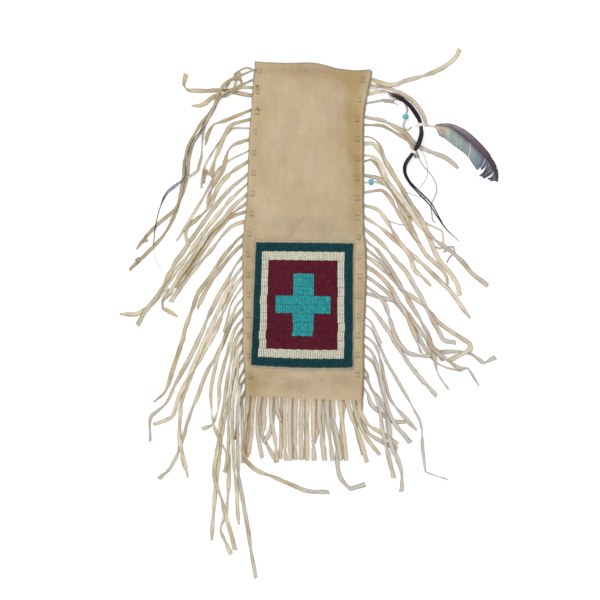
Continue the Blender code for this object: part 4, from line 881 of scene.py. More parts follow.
def tail_route(side, points, corner):
    """A tail's points from the panel's edge on, below a thong's corner at the back."""
    placed = [(side * point[0], *point[1:]) for point in points]
    first = placed[0]
    edge = float(edge_x(side, first[1])) + side * EXIT_REACH + max(0.0, side * BACK_SHIFT)
    share = (edge - corner[0]) / (first[0] - corner[0])
    return [(edge, corner[1] + (first[1] - corner[1]) * share, width_at(first, THONG_WIDTH))] + placed


def eased_exit(route):
    """Cuts the corner of a tail that turns sharply down or up just outside the panel's edge."""
    start, edge, first, second = (np.array(row) for row in route[:4])
    way = second - first
    if abs(way[1]) < SHARP_TURN * math.hypot(way[0], way[1]):
        return route
    for row in (edge, first):
        share = (row[0] - start[0]) / (second[0] - start[0]) if abs(second[0] - start[0]) > 4 else 0.5
        chord = start + (second - start) * min(max(share, 0.0), 1.0)
        row[:2] += (chord[:2] - row[:2]) * EXIT_EASE
    return [route[0], tuple(edge), tuple(first)] + route[3:]


def laid_tail(side, number, turn, points):
    """Name of a lacing thong, and one of its tails as its solid lies, from its corner at the back."""
    name = "%s_thong_%02d" % ("left" if side < 0 else "right", number + 1)
    x, y = stitch_place(side, number)
    corner = (x, y + turn * TURN_OFFSET)
    return name, corner, laid_route(name, tail_route(side, points, corner), THONG_WIDTH, corner)


def lacing_thong(side, number, tails, material):
    generator = np.random.default_rng(100 * (side + 2) + number)
    parts = [stitch_rows(side, number, generator)]
    for k, (turn, points) in enumerate(zip((1, -1), tails)):
        name, corner, laid = laid_tail(side, number, turn, points)
        route = eased_exit([(*corner, 0.0, THONG_WIDTH)] + laid)
        tip = generator.choice([0.5, 0.8, 1.0, 1.15])
        flat_range = (generator.uniform(0.45, 0.85), 0.36)
        slim = ROLLED.get(name, (1.0, 1.0))[k]
        parts.append(strip_points(route, THONG_THICK, generator, flat_range, tip=tip, slim=slim))
    for width, points in KNOTS.get(name, []):
        route = [(*point, width) for point in points]
        rows, distance, flat = strip_points(route, KNOT_THICK, generator, (0.9, 0.7), tip=0.9, step=1.4)
        # The knots' flatness is lowered for their colours only, which paints them greyer and darker as shade
        parts.append((rows, distance, flat * KNOT_SHADE))
    return strip_piece(parts, name, material, generator)


def laid_strip(name, points, width, height, material, seed, slim=0.9, shares=()):
    generator = np.random.default_rng(seed)
    route = laid_route(name, points, width)
    route = [(*row[:3], row[3] * share) for row, share in zip(route, shares)] or route
    part = strip_points(route, height, generator, (0.8, 0.6), slim=slim)
    return strip_piece([part], name, material, generator), route


# Marks on the hide

def slit_of(x, y, legs):
    """Painted shade in the slits that the thongs pass through, fainter at the upper right."""
    total = 0 * x
    for side, number, leg in legs:
        sx, sy = stitch_place(side, number)
        along = np.clip((SLIT_HALF - np.abs(x - sx)) / SLIT_END, 0, 1)
        shade = 0.65 + 0.35 * math.sin(2.4 * number + 1.7 * side + leg)
        shade *= 1 - 0.5 * ease((sy - 20) / 60) * (side > 0)
        total = total + shade * along * np.clip(1 - np.abs(y - sy - leg * SLIT_AT) / SLIT_GAPE, 0, 1)
    return total


def rim_shade(points):
    """Painted shade on the hide just outside the bead panel's backing."""
    (ax, ay), (bx, by), (cx, cy), (dx, dy) = BEAD_CORNERS
    x = points[:, 0]
    y = points[:, 1]
    u = (x - ax) / (bx - ax)
    down = (ay - y) / (ay - dy)
    left = ax + (dx - ax) * down - BACKING_SIDE
    right = bx + (cx - bx) * down + BACKING_SIDE
    top = ay + (by - ay) * u + BACKING_END
    low = dy + (cy - dy) * u - BACKING_END - BEAD_SAG * 4 * u * (1 - u)
    outside = np.maximum(np.maximum(left - x, x - right), np.maximum(y - top, low - y))
    fading = np.exp(-(np.maximum(outside, 0) / MARK_HALF) ** 2)
    return np.where(outside > -BACKING_LAP, RIM_SHADE * fading, 0.0)


def spread_of(marks, points):
    total = np.zeros(len(points))
    for x, y, wide, high, strength in marks:
        total += strength * np.exp(-((points[:, 0] - x) / wide) ** 2 - ((points[:, 1] - y) / high) ** 2)
    return np.clip(total, 0, 1.2)


def scratch_of(points):
    """Strength of a faint reddish scratch."""
    plan = points[:, :2]
    nearest = np.full(len(points), 1e9)
    for first, second in zip(np.array(SCRATCH, float), np.array(SCRATCH[1:], float)):
        way = second - first
        share = np.clip((plan - first) @ way / (way @ way), 0, 1)[:, None]
        nearest = np.minimum(nearest, np.linalg.norm(plan - first - share * way, axis=1))
    return np.exp(-(nearest / MARK_HALF) ** 2)


# Panels

def column_shares(strands):
    """Shares across the root line of the grid's columns, with each strand's first column."""
    left, right = (float(soft_edge_x(side, root_y(side * BAG_WIDTH / 2))) for side in (-1, 1))
    places = [left]
    firsts = []
    for x, _ in strands:
        last = places[-1]
        gap = x - STRAND_WIDTH / 2 - last
        count = max(1, round(gap / COLUMN_GAP))
        places += [last + gap * k / count for k in range(1, count)]
        firsts.append(len(places))
        places += [last + gap + STRAND_WIDTH * k / STRAND_QUADS for k in range(STRAND_QUADS + 1)]
    places.append(right)
    extra = [left + inset for inset in RIM_COLUMNS] + [right - inset for inset in RIM_COLUMNS]
    kept = [place for place in extra if min(abs(place - other) for other in places) > COLUMN_LEAST]
    firsts = [first + sum(place < places[first] for place in kept) for first in firsts]
    return (np.array(sorted(places + kept)) - left) / (right - left), firsts


def row_shares(rows, legs):
    """Shares down the panel of the grid's rows, closer by the mouth, at each slit and below the beads."""
    wanted = [row / BODY_LENGTH for row in TOP_ROWS]
    for side, number, leg in legs:
        x, y = stitch_place(side, number)
        top = MOUTH_Y + float(soft_table(MOUTH_CUT, x, MOUTH_SOFT))
        share = (top - y - leg * SLIT_AT) / (top - float(root_y(x)))
        wanted += [share + k * SLIT_GAPE / BODY_LENGTH for k in (-1, 0, 1)]
    if legs:
        wanted += [(MOUTH_Y - y) / BODY_LENGTH for y in LOW_ROWS]
    found = []
    for share in sorted(wanted):
        if not found or share - found[-1] > ROW_LEAST / BODY_LENGTH:
            found.append(share)
    for share in np.linspace(0, 1, rows):
        if min(abs(share - other) for other in found) > ROW_CLOSE / rows:
            found.append(share)
    return np.array(sorted(set(found) | {1.0}))


def strand_rows(name, number, place, route, middle, generator):
    """A fringe strand from its root on: rows of points round it, and values that grow along it."""
    laid = laid_route(name, [(place, float(root_y(place)))] + route, STRAND_WIDTH)
    laid[0] = (middle[0], middle[1], middle[2] - HIDE, STRAND_WIDTH)
    run = curve_through(laid, STRAND_STEP)
    distance = distance_along(run)
    ahead, across = directions(run)
    flat = curl_along(distance, generator, 1.0, 0.55)
    narrow = generator.uniform(0.78, 1.0)
    width = run[:, 3] * flat * (narrow + (1 - narrow) * (1 - ease(distance / 16)))
    loose = ease(distance / STRAND_RUN)
    lean = 0.08 * ripple(distance, generator, (50.0, 24.0)) * loose
    cup = 0.28 * ripple(distance, generator, (60.0, 34.0)) * loose
    tone = generator.uniform(0.75, 1.2)
    hue = generator.uniform(0.1, 0.9)
    grey = max(0.0, generator.uniform(-0.5, 0.7)) if len(route) < LONG_STRAND else 1.0
    sides = np.linspace(-1, 1, STRAND_QUADS + 1)
    half = sides * width[:, None] / 2
    half[1:] *= 1 + 0.03 * generator.standard_normal(len(run) - 1)[:, None]
    cut = np.zeros_like(half)
    cut[-1] = STRAND_CUT * math.sin(number * 2.3) * sides
    plan = run[:, None, :2] + across[:, None] * half[:, :, None] + ahead[:, None] * cut[:, :, None]
    bend = cup[:, None] * (sides ** 2 - 0.4) + lean[:, None] * half
    high = run[:, 2:3] + STRAND_SEAT + bend + HIDE * 0.9 * (1 - 0.25 * np.abs(sides) ** 6)
    high = np.maximum(high, STRAND_LEAST)[:, :, None]
    over = np.concatenate([plan, high], axis=2)
    under = np.concatenate([plan, np.maximum(high - HIDE * 0.75, FLOOR_GAP)], axis=2)
    rows = np.concatenate([over, under[:, ::-1]], axis=1)[1:]
    grown = np.minimum(1.0, distance[1:] / STRAND_RUN)
    # Painted shade on the strand's sides and underside, and where it is rolled up
    shade = np.concatenate([np.abs(sides) ** 8, np.ones(STRAND_QUADS + 1)])
    edge = shade * (0.35 + 0.5 * grown[:, None]) + 0.45 * (1 - flat[1:, None])
    corners = rows.shape[1]
    values = {
        "tone": np.repeat(PANEL_TONE + (tone - PANEL_TONE) * grown, corners),
        "hue": np.repeat(PANEL_HUE + (hue - PANEL_HUE) * grown, corners),
        "grey": np.repeat(grey * grown, corners),
        "edge": np.clip(edge, 0, 1).ravel(),
    }
    return rows, values


def panel_piece(name, strands, over, rows, material, seed, legs=(), shift=0.0, drop=0.0):
    """A hide panel as a fine sheet, its fringe strands running on from its lower edge."""
    generator = np.random.default_rng(seed)
    share, firsts = column_shares(strands)
    down = row_shares(rows, legs)[:, None]
    rough_y = MOUTH_Y + (-2 * MOUTH_Y - 3) * down
    left = soft_edge_x(-1, rough_y)
    right = soft_edge_x(1, rough_y)
    wave = 0.25 * np.sin(rough_y / 4.1) + 0.2 * np.sin(rough_y / 1.9 + 1)
    x = left + (right - left) * share + wave * (np.abs(2 * share - 1) ** 12) * np.sign(share - 0.5)
    top = MOUTH_Y + soft_table(MOUTH_CUT, x, MOUTH_SOFT) - drop
    y = top + (root_y(x) - top) * down
    inset = np.minimum(np.minimum(x - left, right - x), top - y)
    z = over(x, y) - RIM_DROP * np.exp(-inset / RIM_REACH)
    # Darker cut edge with painted shade along the rim, and painted shade in the slits
    edge = np.clip(1 - (inset - RIM_START) / RIM_DARK, 0, 1) + slit_of(x, y, legs)
    x = x + shift
    upper = np.stack([x, y, z], axis=2)
    grade = np.gradient(z, axis=1) / np.maximum(np.gradient(x, axis=1), 1e-6)
    lower = np.stack([x + HIDE * 0.25 * grade, y, z - HIDE * UNDER_SHARE], axis=2)
    rows, columns = x.shape
    count = rows * columns
    open_runs = {c for first in firsts for c in range(first, first + STRAND_QUADS)}
    faces = sheet_faces(rows, columns, open_runs)
    points = [upper.reshape(-1, 3), lower.reshape(-1, 3)]
    # The underside of the sheet gets the full edge darkness as painted shade
    values = {"tone": [np.full(2 * count, PANEL_TONE)], "hue": [np.full(2 * count, PANEL_HUE)],
              "grey": [np.zeros(2 * count)], "edge": [np.append(np.clip(edge, 0, 1), np.ones(count))]}
    for number, ((place, route), first) in enumerate(zip(strands, firsts)):
        middle = upper[-1, first:first + STRAND_QUADS + 1].mean(axis=0)
        ring, found = strand_rows(name, number, place, route, middle, generator)
        total = sum(len(done) for done in points)
        corners = ring.shape[1]
        last = total + (len(ring) - 1) * corners
        root = [count - columns + first + k for k in range(STRAND_QUADS + 1)]
        root += [corner + count for corner in reversed(root)]
        for k in range(corners):
            j = (k + 1) % corners
            faces.append((root[k], total + k, total + j, root[j]))
        faces += ring_faces(len(ring), corners, total, closed=False)
        faces.append(tuple(reversed(range(last, last + corners))))
        points.append(ring.reshape(-1, 3))
        for key, lists in values.items():
            lists.append(found[key])
    points = np.vstack(points)
    values = {key: np.concatenate(lists) for key, lists in values.items()}
    values["stain_and_shade"] = spread_of(STAINS_AND_SHADE, points)
    # Smudges, with painted shade just outside the bead panel
    values["smudge_and_shade"] = np.maximum(spread_of(SMUDGES_AND_SHADE, points), rim_shade(points))
    values["scratch"] = scratch_of(points)
    # Painted shade in the holes, and the dark marks below the bead work
    values["under"] = spread_of(HOLE_SHADE_AND_DARK_MARKS if legs else [], points)
    return new_piece(name, points, faces, material, values)


def bumps_in_hide(x, y):
    """Slack and puckers of the front panel, none of them under the bead work."""
    beaded = ease((x - CALM_LEFT) / 10) * ease((CALM_RIGHT - x) / 10)
    beaded = beaded * ease((y - CALM_LOW) / 8) * ease((CALM_TOP - y) / 8)
    soft = 0.45 * np.sin(x / 23 + 0.6 * np.sin(y / 41)) * np.sin(y / 33 + 0.8)
    soft += 0.25 * np.sin(x / 11 + y / 29) * np.cos(y / 17 - 0.4)
    lip = 0.7 * ease((y - MOUTH_Y + 16) / 18) * np.sin(x / 15 + 0.8)
    total = (soft + lip) * (1 - beaded) * ease((70 - np.abs(x)) / 10)
    for side in (-1, 1):
        for number in range(THONGS_PER_SIDE):
            sx, sy = stitch_place(side, number)
            off = (x - sx) ** 2
            for leg in (-1, 1):
                near = (y - sy - leg * (STITCH_LENGTH / 2 + 0.3)) ** 2
                total = total - SLIT_PUCKER * np.exp(-off / 14 - near / 1.6)
            total = total - STITCH_PUCKER * np.exp(-(off + (y - sy) ** 2) / 60)
    return total


# Bead panel

def bead_place(px, py):
    across = px / BEADWORK_WIDTH
    down = -py / (LANES * LANE_PITCH)
    (ax, ay), (bx, by), (cx, cy), (dx, dy) = BEAD_CORNERS
    top_x = ax + (bx - ax) * across
    top_y = ay + (by - ay) * across
    low_x = dx + (cx - dx) * across
    low_y = dy + (cy - dy) * across
    sag = BEAD_SAG * down ** 3 * (1 - (2 * across - 1) ** 2)
    return top_x + (low_x - top_x) * down, top_y + (low_y - top_y) * down - sag


def field_of(px, lane):
    """Field of the bead work at a place across the panel and a count of lanes down it."""
    for name, left, right, top, low in FIELDS:
        if left < px < right and top <= lane < low:
            return name
    return "teal_border"


def bead_shape():
    points = []
    for along, size in BEAD_RINGS:
        for i in range(BEAD_SIDES):
            angle = 2 * math.pi * (i + 0.5) / BEAD_SIDES
            points.append((math.cos(angle) * size * BEAD_RADIUS, along, math.sin(angle) * size * BEAD_RADIUS))
    return np.array(points), ring_faces(len(BEAD_RINGS), BEAD_SIDES)


def bead_rows(names):
    """Each field's beads as rows: place, slope along the string, turn, size and tone."""
    generator = np.random.default_rng(7)
    found = {name: [] for name in names}
    slides = [0.28 * math.sin(1.25 * k) + generator.uniform(-0.12, 0.12) for k in range(STRINGS)]
    for lane in range(LANES):
        lean = generator.uniform(-0.75, 0.75)
        sway = generator.uniform(0, 6)
        for string in range(STRINGS):
            drift = lean + 0.25 * math.sin(string / 5 + sway) + generator.uniform(-0.04, 0.04)
            tilt = generator.uniform(-0.015, 0.015)
            for bead in range(BEADS_PER_STRING):
                down = (bead + 0.5) / BEADS_PER_STRING
                px = (string + 0.5) * BEADWORK_WIDTH / STRINGS
                field = field_of(px, lane + down)
                px = px + drift * (1 - 0.7 * abs(2 * px / BEADWORK_WIDTH - 1) ** 8) + tilt * (down - 0.5) * 6
                py = -(lane + 0.5 + (down - 0.5) * LANE_FILL) * LANE_PITCH + slides[string]
                x, y = bead_place(px, py)
                crest = LANE_CREST * (math.sin(math.pi * down) - 0.1)
                slope = LANE_CREST * math.pi / LANE_PITCH * math.cos(math.pi * down)
                size = generator.normal(1.0, BEAD_SPREAD)
                z = backing_over(x) + CLEAR / 2 + BEAD_RADIUS + crest + generator.uniform(-0.05, 0.05)
                found[field].append((x, y, z, slope, tilt - 0.02, size, generator.uniform()))
    return found


def bead_work(materials):
    shape, shape_faces = bead_shape()
    pieces = []
    for name, beads in bead_rows(materials).items():
        px, py, pz, slope, turn, size, tone = np.array(beads).T[:, :, None]
        sx = shape[:, 0] * size
        sy = shape[:, 1] * np.minimum(size, 1.03)
        sz = shape[:, 2] * size
        rows = [px + sx - sy * turn, py + sy + sx * turn + sz * slope, pz + sz - sy * slope]
        points = np.stack(rows, axis=2).reshape(-1, 3)
        firsts = range(0, len(points), len(shape))
        faces = [tuple(first + i for i in face) for first in firsts for face in shape_faces]
        values = {"tone": np.repeat(tone, len(shape))}
        pieces.append(new_piece(name, points, faces, materials[name], values))
    return pieces


def bead_backing(material):
    """The hide under the bead work, showing as a narrow rim, with painted shade where it lies under the
    beads, less of it under the cream beads.
    """
    (ax, ay), (bx, by), (cx, cy), (dx, dy) = BEAD_CORNERS
    side = BACKING_SIDE
    end = BACKING_END
    u, v = np.meshgrid(np.linspace(0, 1, BACKING_GRID[0]), np.linspace(0, 1, BACKING_GRID[1]))
    x = blend(ax - side + (bx - ax + 2 * side) * u, dx - side + (cx - dx + 2 * side) * u, v)
    y = blend(ay + end + (by - ay) * u, dy - end + (cy - dy) * u, v) - BEAD_SAG * v ** 3 * 4 * u * (1 - u)
    x = x + 0.3 * np.sin(y / 3.3 + 2) * np.abs(2 * u - 1) ** 20
    y = y + 0.35 * np.sin(x / 2.7) * np.abs(2 * v - 1) ** 20
    upper = np.stack([x, y, backing_over(x) - 0.1], axis=2).reshape(-1, 3)
    points = np.vstack([upper, upper - (0, 0, HIDE * 0.8)])
    inset = np.minimum(u, 1 - u) * BEADWORK_WIDTH - side
    inset = np.minimum(inset, np.minimum(v, 1 - v) * LANES * LANE_PITCH - end)
    bead_gap_shade = np.clip(inset / 0.8 + 0.4, 0, 1)
    for spot in np.ndindex(bead_gap_shade.shape):
        if field_of(u[spot] * BEADWORK_WIDTH, v[spot] * LANES) == "cream_border":
            bead_gap_shade[spot] *= 0.45
    bead_gap_shade = np.tile(bead_gap_shade.ravel(), 2)
    none = np.zeros(len(points))
    # The edge, smudge and under marks all carry the painted shade between the beads
    values = {"tone": none + 0.9, "hue": none + 0.5, "edge": bead_gap_shade, "smudge_and_shade": bead_gap_shade, "under": bead_gap_shade,
              "stain_and_shade": none, "scratch": none, "grey": none}
    return new_piece("bead_backing", points, sheet_faces(*x.shape), material, values)


# Hair, feather, beads and threads

def tube_rows(path, radii, sides):
    """Rows of a round tube along a path in space."""
    path = np.asarray(path, float)
    ahead = units(path)
    across = np.cross(ahead, (0, 0, 1.0))
    across[np.linalg.norm(across, axis=1) < 1e-6] = (1, 0, 0)
    across /= np.linalg.norm(across, axis=1)[:, None]
    up = np.cross(across, ahead)
    angles = 2 * math.pi * (np.arange(sides) + 0.5) / sides
    spread = across[:, None, :] * np.cos(angles)[:, None] + up[:, None, :] * np.sin(angles)[:, None]
    return path[:, None, :] + radii[:, None, None] * spread


def hair_lock(material):
    generator = np.random.default_rng(11)
    route = [(x, y, sum(span("horsehair_lock", x, y)) / 2, size) for x, y, size in HAIR]
    run = curve_through(route, HAIR_STEP)
    distance = distance_along(run)
    across = directions(run)[1]
    half = run[:, 3] / 2
    parts = []
    values = {"tone": [], "root": []}
    splay = ease((distance - SPLAY_START) / 30) * ease((distance[-1] - SPLAY_STOP - distance) / 50)
    for number in range(HAIRS):
        reach = math.sqrt(generator.uniform(0.02, 1.0))
        angle = generator.uniform(0, 2 * math.pi)
        twist = angle + distance / 34 + 0.5 * ripple(distance, generator, (90.0, 50.0))
        whole = generator.uniform() < WHOLE_HAIRS
        stop = len(run) if whole else int(len(run) * generator.uniform(*HAIR_STOPS))
        start = int(generator.uniform(0, 1) ** 0.8 * 7)
        loose = 1 + 0.16 * ripple(distance, generator, (40.0, 22.0)) * ease((distance - 90) / 60)
        side = np.cos(twist) * reach * half * HAIR_FILL * loose
        bundle = BUNDLES[0] if number % 5 < 3 else BUNDLES[1]
        gap = bundle * (0.75 + 0.25 * np.sin(distance / 13 + 1))
        fan = generator.uniform(-HAIR_FAN, HAIR_FAN) * (1 - ease(distance / 26)) * reach
        side = side * (1 - 0.6 * splay) + gap * splay + fan
        rise = np.maximum(run[:, 2] + np.sin(twist) * reach * half * HAIR_FILL * 0.9, HAIR_RADIUS)
        path = np.column_stack([run[:, :2] + across * side[:, None], rise])[start:stop]
        thin = np.linspace(0, 1, len(path))
        radii = HAIR_RADIUS * (1 - 0.5 * thin) * (0.55 + 0.45 * ease(np.arange(len(path)) / 4))
        parts.append(tube_rows(path, radii, 3))
        values["tone"].append(np.full(len(path) * 3, generator.uniform()))
        brown = generator.uniform(0.2, 1) * (1 - ease(distance[start:stop] / generator.uniform(14, 32)))
        values["root"].append(np.repeat(brown, 3))
    joined("horsehair_lock", parts, material, {key: np.concatenate(lists) for key, lists in values.items()})
    return route


def axes_between(first, second):
    """Middle of two points, the way between them and two ways square to it."""
    first = Vector(first)
    second = Vector(second)
    run = (second - first).normalized()
    across = run.cross(Vector((0, 0, 1))).normalized()
    return (first + second) / 2, run, across, across.cross(run).normalized()


def spot_round(axes, along, angle, size):
    middle, run, across, up = axes
    return tuple(middle + run * along + across * math.cos(angle) * size + up * math.sin(angle) * size)


def hair_tie(name, at, route, material, ends):
    """Thread wound round the lock, with its two ends left loose."""
    axes = axes_between(route[at][:3], route[at + 1][:3])
    middle, run, across, _ = axes
    size = route[at][3] / 2 + 0.5
    path = []
    for share in np.linspace(0, 1, int(TIE_TURNS * TIE_STEPS) + 1):
        along = (share - 0.5) * TIE_RISE * TIE_TURNS
        path.append(spot_round(axes, along, 2 * math.pi * TIE_TURNS * share, size))
    parts = [tube_rows(path, np.full(len(path), TIE_RADIUS), 6)]
    for side, slant, length in ends:
        tail = []
        for i, (out, along) in enumerate(((size * 0.8, 0), (size + length * 0.4, 0.5), (size + length, 1))):
            spot = middle + across * out * side + run * slant * along
            tail.append((spot.x, spot.y, max(spot.z - 0.5 * i, 0.4)))
        tail = curve_through(tail, 1.0)
        parts.append(tube_rows(tail, np.full(len(tail), TIE_END_RADIUS), 5))
    joined(name, parts, material)


def pony_bead(name, route, at, material):
    """A glass bead with rounded shoulders and an open hole, on the stretch of a route after a point."""
    axes = axes_between(*((x, y, z + THONG_THICK / 2) for x, y, z, _ in route[at:at + 2]))
    half = PONY_LENGTH / 2
    outside = PONY_BEAD / 2
    shoulder = [(half * 0.86, PONY_HOLE), (half * 0.98, PONY_HOLE + 0.35), (half, 2.5), (half * 0.93, 3.1),
                (half * 0.68, outside * 0.95), (half * 0.35, outside)]
    profile = [(-along, size) for along, size in shoulder] + [(0, outside)] + shoulder[::-1]
    angles = [2 * math.pi * i / PONY_SIDES for i in range(PONY_SIDES)]
    points = [spot_round(axes, along, angle, size) for along, size in profile for angle in angles]
    faces = ring_faces(len(profile), PONY_SIDES, closed=False)
    last = len(points) - PONY_SIDES
    for i in range(PONY_SIDES):
        j = (i + 1) % PONY_SIDES
        faces.append((last + i, last + j, j, i))
    new_piece(name, points, faces, material)


def feather_colour(share, side, out):
    """Colour of the vanes by place along the shaft, side of it and distance out from it."""
    if side > 0:
        colour = blend(VIOLET, DARK_VIOLET, ease((share - 0.52) / 0.3))
        # Pale painted highlight on the outer vane, from the base to the middle
        pale = ease((0.55 - share) / 0.3) * ease((out - 0.15) / 0.5) * ease((1.2 - out) / 0.4)
        return blend(colour, PALE_HIGHLIGHT, 0.5 * pale)
    colour = blend(AQUA, SLATE, ease((share - 0.48) / 0.25))
    colour = blend(colour, DARK_VIOLET, 0.8 * ease((share - 0.66) / 0.14) * ease((out - 0.2) / 0.4))
    colour = blend(colour, VIOLET, 0.8 * ease((0.42 - out) / 0.35) * ease((share - 0.22) / 0.15))
    colour = blend(colour, CREAM, 0.9 * ease((0.27 - share) / 0.12) * ease((0.95 - out) / 0.5))
    return blend(colour, RUST, 0.7 * math.exp(-((share - 0.15) / 0.02) ** 2 - ((out - 0.35) / 0.14) ** 2))


def feather(material):
    generator = np.random.default_rng(5)
    route = [(x, y, span("feather", x, y)[0], *vanes) for x, y, *vanes in FEATHER]
    run = curve_through(route, SHAFT_STEP)
    distance = distance_along(run)
    total = distance[-1]
    across = directions(run)[1]
    columns = np.column_stack([run, across])

    def at(place, column):
        return np.interp(place, distance, columns[:, column])

    shaft = run[::4, :3] + (0, 0, SHAFT_SEAT)
    along = distance[::4] / total
    parts = [tube_rows(shaft, SHAFT_RADIUS * (1 - 0.75 * along), 8)]
    shades = [np.repeat(blend(QUILL_BASE, QUILL_END, ease((along - 0.16) / 0.2)[:, None]), 8, axis=0)]
    gaps = []
    for (x, y), wide in SPLITS:
        place = distance[np.argmin(np.hypot(run[:, 0] - x, run[:, 1] - y))]
        gaps.append((place - wide / 2, place + wide / 2))
    for side, column in ((1, 3), (-1, 4)):
        clump = 0
        for number in range(BARBS):
            if clump == 0:
                clump = int(generator.integers(4, 12))
                shade_of_clump = generator.uniform(0.84, 1.12)
                ragged = 0.03
                if number > RAGGED_FROM * BARBS:
                    ragged = 0.4 if side < 0 else 0.2
                reach_of_clump = generator.uniform(1 - ragged, 1.0)
                lift = generator.uniform(0, 0.12)
                sweep = generator.uniform(-1, 1) * (2.4 if side < 0 and number > LOOSE_FROM * BARBS else 0.5)
            clump -= 1
            root = VANE_START + (total - VANE_START - 1.0) * (number + 0.5) / BARBS
            if side < 0 and any(low < root < high for low, high in gaps):
                continue
            slope = 1.25 if side > 0 else 0.85 - 0.5 * float(ease((root / total - 0.6) / 0.2))
            tip = min(root + at(root, column) * slope, total - 0.2)
            s = np.linspace(0, 1, BARB_STEPS + 1)
            place = np.minimum(root + (tip - root) * (s ** 0.85) + sweep * s * s, total)
            out = side * at(tip, column) * reach_of_clump * s ** 1.12
            arch = 0.45 * np.sin(math.pi * np.minimum(1.0, s * 1.1))
            high = np.maximum(0.12, at(place, 2) + 0.75 + arch - 0.25 * s + lift)
            x = at(place, 0) + at(place, 5) * out
            y = at(place, 1) + at(place, 6) * out
            path = np.stack([x, y, high], axis=1)
            ahead = units(path)
            flat = np.stack([-ahead[:, 1], ahead[:, 0], np.zeros(len(path))], axis=1)
            flat = flat * np.linspace(*BARB_WIDTHS, len(path))[:, None] - (0, 0, 0.05)
            parts.append(np.stack([path + flat, path - flat, path + (0, 0, 0.1)], axis=1))
            tones = [feather_colour(root / total, side, share) * shade_of_clump for share in s]
            shades.append(np.repeat(np.array(tones), 3, axis=0))
    tints = np.clip(np.vstack(shades), 0, 1)
    joined("feather", parts, material, tints=np.hstack([tints, np.ones((len(tints), 1))]))


def thread(name, diameter, points, material):
    """A loose thread as a round tube that follows the floor."""
    run = curve_through([(x, y, diameter / 2 + THREAD_SEAT) for x, y in points], THREAD_STEP)
    piece = joined(name, [tube_rows(run, np.full(len(run), diameter / 2), 6)], material)
    length = float(np.linalg.norm(np.diff(run, axis=0), axis=1).sum()) * MM


# Materials

class Look:
    """A material, with the few kinds of node that the looks are made of."""

    def __init__(self, name, roughness, specular=0.5, sheen=0.0, coat=0.0):
        self.material = bpy.data.materials.new(name)
        self.material.use_nodes = True
        self.tree = self.material.node_tree
        self.shader = self.tree.nodes["Principled BSDF"]
        self.fill(self.shader, {"Roughness": roughness, "Specular IOR Level": specular, "Sheen Weight": sheen,
                                "Coat Weight": coat})

    def fill(self, node, inputs):
        """Links each input to a socket, or sets it to a plain value."""
        for key, value in inputs.items():
            if isinstance(value, bpy.types.NodeSocket):
                self.tree.links.new(value, node.inputs[key])
            else:
                node.inputs[key].default_value = value

    def node(self, kind, inputs, output, **settings):
        made = self.tree.nodes.new(kind)
        for key, value in settings.items():
            setattr(made, key, value)
        self.fill(made, inputs)
        return made.outputs[output]

    def place(self):
        return self.node("ShaderNodeTexCoord", {}, "Object")

    def attribute(self, name, output="Fac"):
        return self.node("ShaderNodeAttribute", {}, output, attribute_name=name)

    def mix(self, factor, first, second, mode="MIX"):
        inputs = {"Factor": factor, "A": first, "B": second}
        return self.node("ShaderNodeMix", inputs, "Result", data_type="RGBA", blend_type=mode)

    def noise(self, place, scale, detail, rough=0.55):
        inputs = {"Scale": scale, "Detail": detail, "Roughness": rough, "Vector": place}
        return self.node("ShaderNodeTexNoise", inputs, "Fac")

    def spread(self, value, low, high, to_low=0.0, to_high=1.0):
        inputs = {"From Min": low, "From Max": high, "To Min": to_low, "To Max": to_high, "Value": value}
        return self.node("ShaderNodeMapRange", inputs, "Result")

    def sum(self, first, second, operation="ADD"):
        return self.node("ShaderNodeMath", {0: first, 1: second}, 0, operation=operation)

    def product(self, first, second):
        return self.sum(first, second, "MULTIPLY")

    def finish(self, colour, height=None, strength=0.3, distance=0.0):
        """Links the colour, and a height as a bump, to the shader."""
        self.fill(self.shader, {"Base Color": colour})
        if height is not None:
            inputs = {"Strength": strength, "Distance": distance, "Height": height}
            self.fill(self.shader, {"Normal": self.node("ShaderNodeBump", inputs, "Normal")})
        return self.material


def colour4(values):
    return (*values, 1.0)


def hide_material(name, marks):
    """Napped, smoke-tanned hide: cloudy colour, stains, darker cut edges, painted shade from the marks that
    carry it, and a fine nap.
    """
    base, light, dark = HIDES[name]
    look = Look(name, 0.92, specular=0.2, sheen=0.1)
    place = look.place()
    stretched = look.node("ShaderNodeMapping", {"Scale": (2.4, 0.7, 1.0), "Vector": place}, "Vector")
    cloud = look.spread(look.noise(place, 20, 4), 0.35, 0.68)
    tint = look.noise(place, 42, 4)
    mottle = look.spread(look.noise(place, 110, 5, 0.6), 0.36, 0.66)
    streak = look.noise(stretched, 60, 3)
    nap = look.noise(place, 900, 3)
    brightness = look.sum(look.attribute("tone"), look.spread(cloud, 0.0, 1.0, -0.15, 0.15))
    colour = look.mix(brightness, colour4(base), colour4(light))
    tinge = look.sum(look.attribute("hue"), look.spread(tint, 0.3, 0.7, -0.42, 0.42))
    colour = look.mix(1.0, colour, look.mix(tinge, PINK_TINT, YELLOW_TINT), "MULTIPLY")
    colour = look.mix(look.spread(mottle, 0.0, 1.0, 0.0, 0.22), colour, colour4(dark))
    colour = look.mix(look.spread(streak, 0.45, 0.75, 0.0, 0.3), colour, colour4(dark))
    uneven = look.spread(mottle, 0.0, 1.0, 0.75, 1.1)
    for mark, shade, share in marks:
        strength = look.product(look.attribute(mark), uneven)
        colour = look.mix(look.spread(strength, 0.0, 1.0, 0.0, share), colour, shade)
    speck = look.spread(nap, 0.3, 0.7, 0.91, 1.07)
    scale = look.node("ShaderNodeCombineColor", {"Red": speck, "Green": speck, "Blue": speck}, "Color")
    return look.finish(look.mix(1.0, colour, scale, "MULTIPLY"), nap, 0.35, 0.0006)


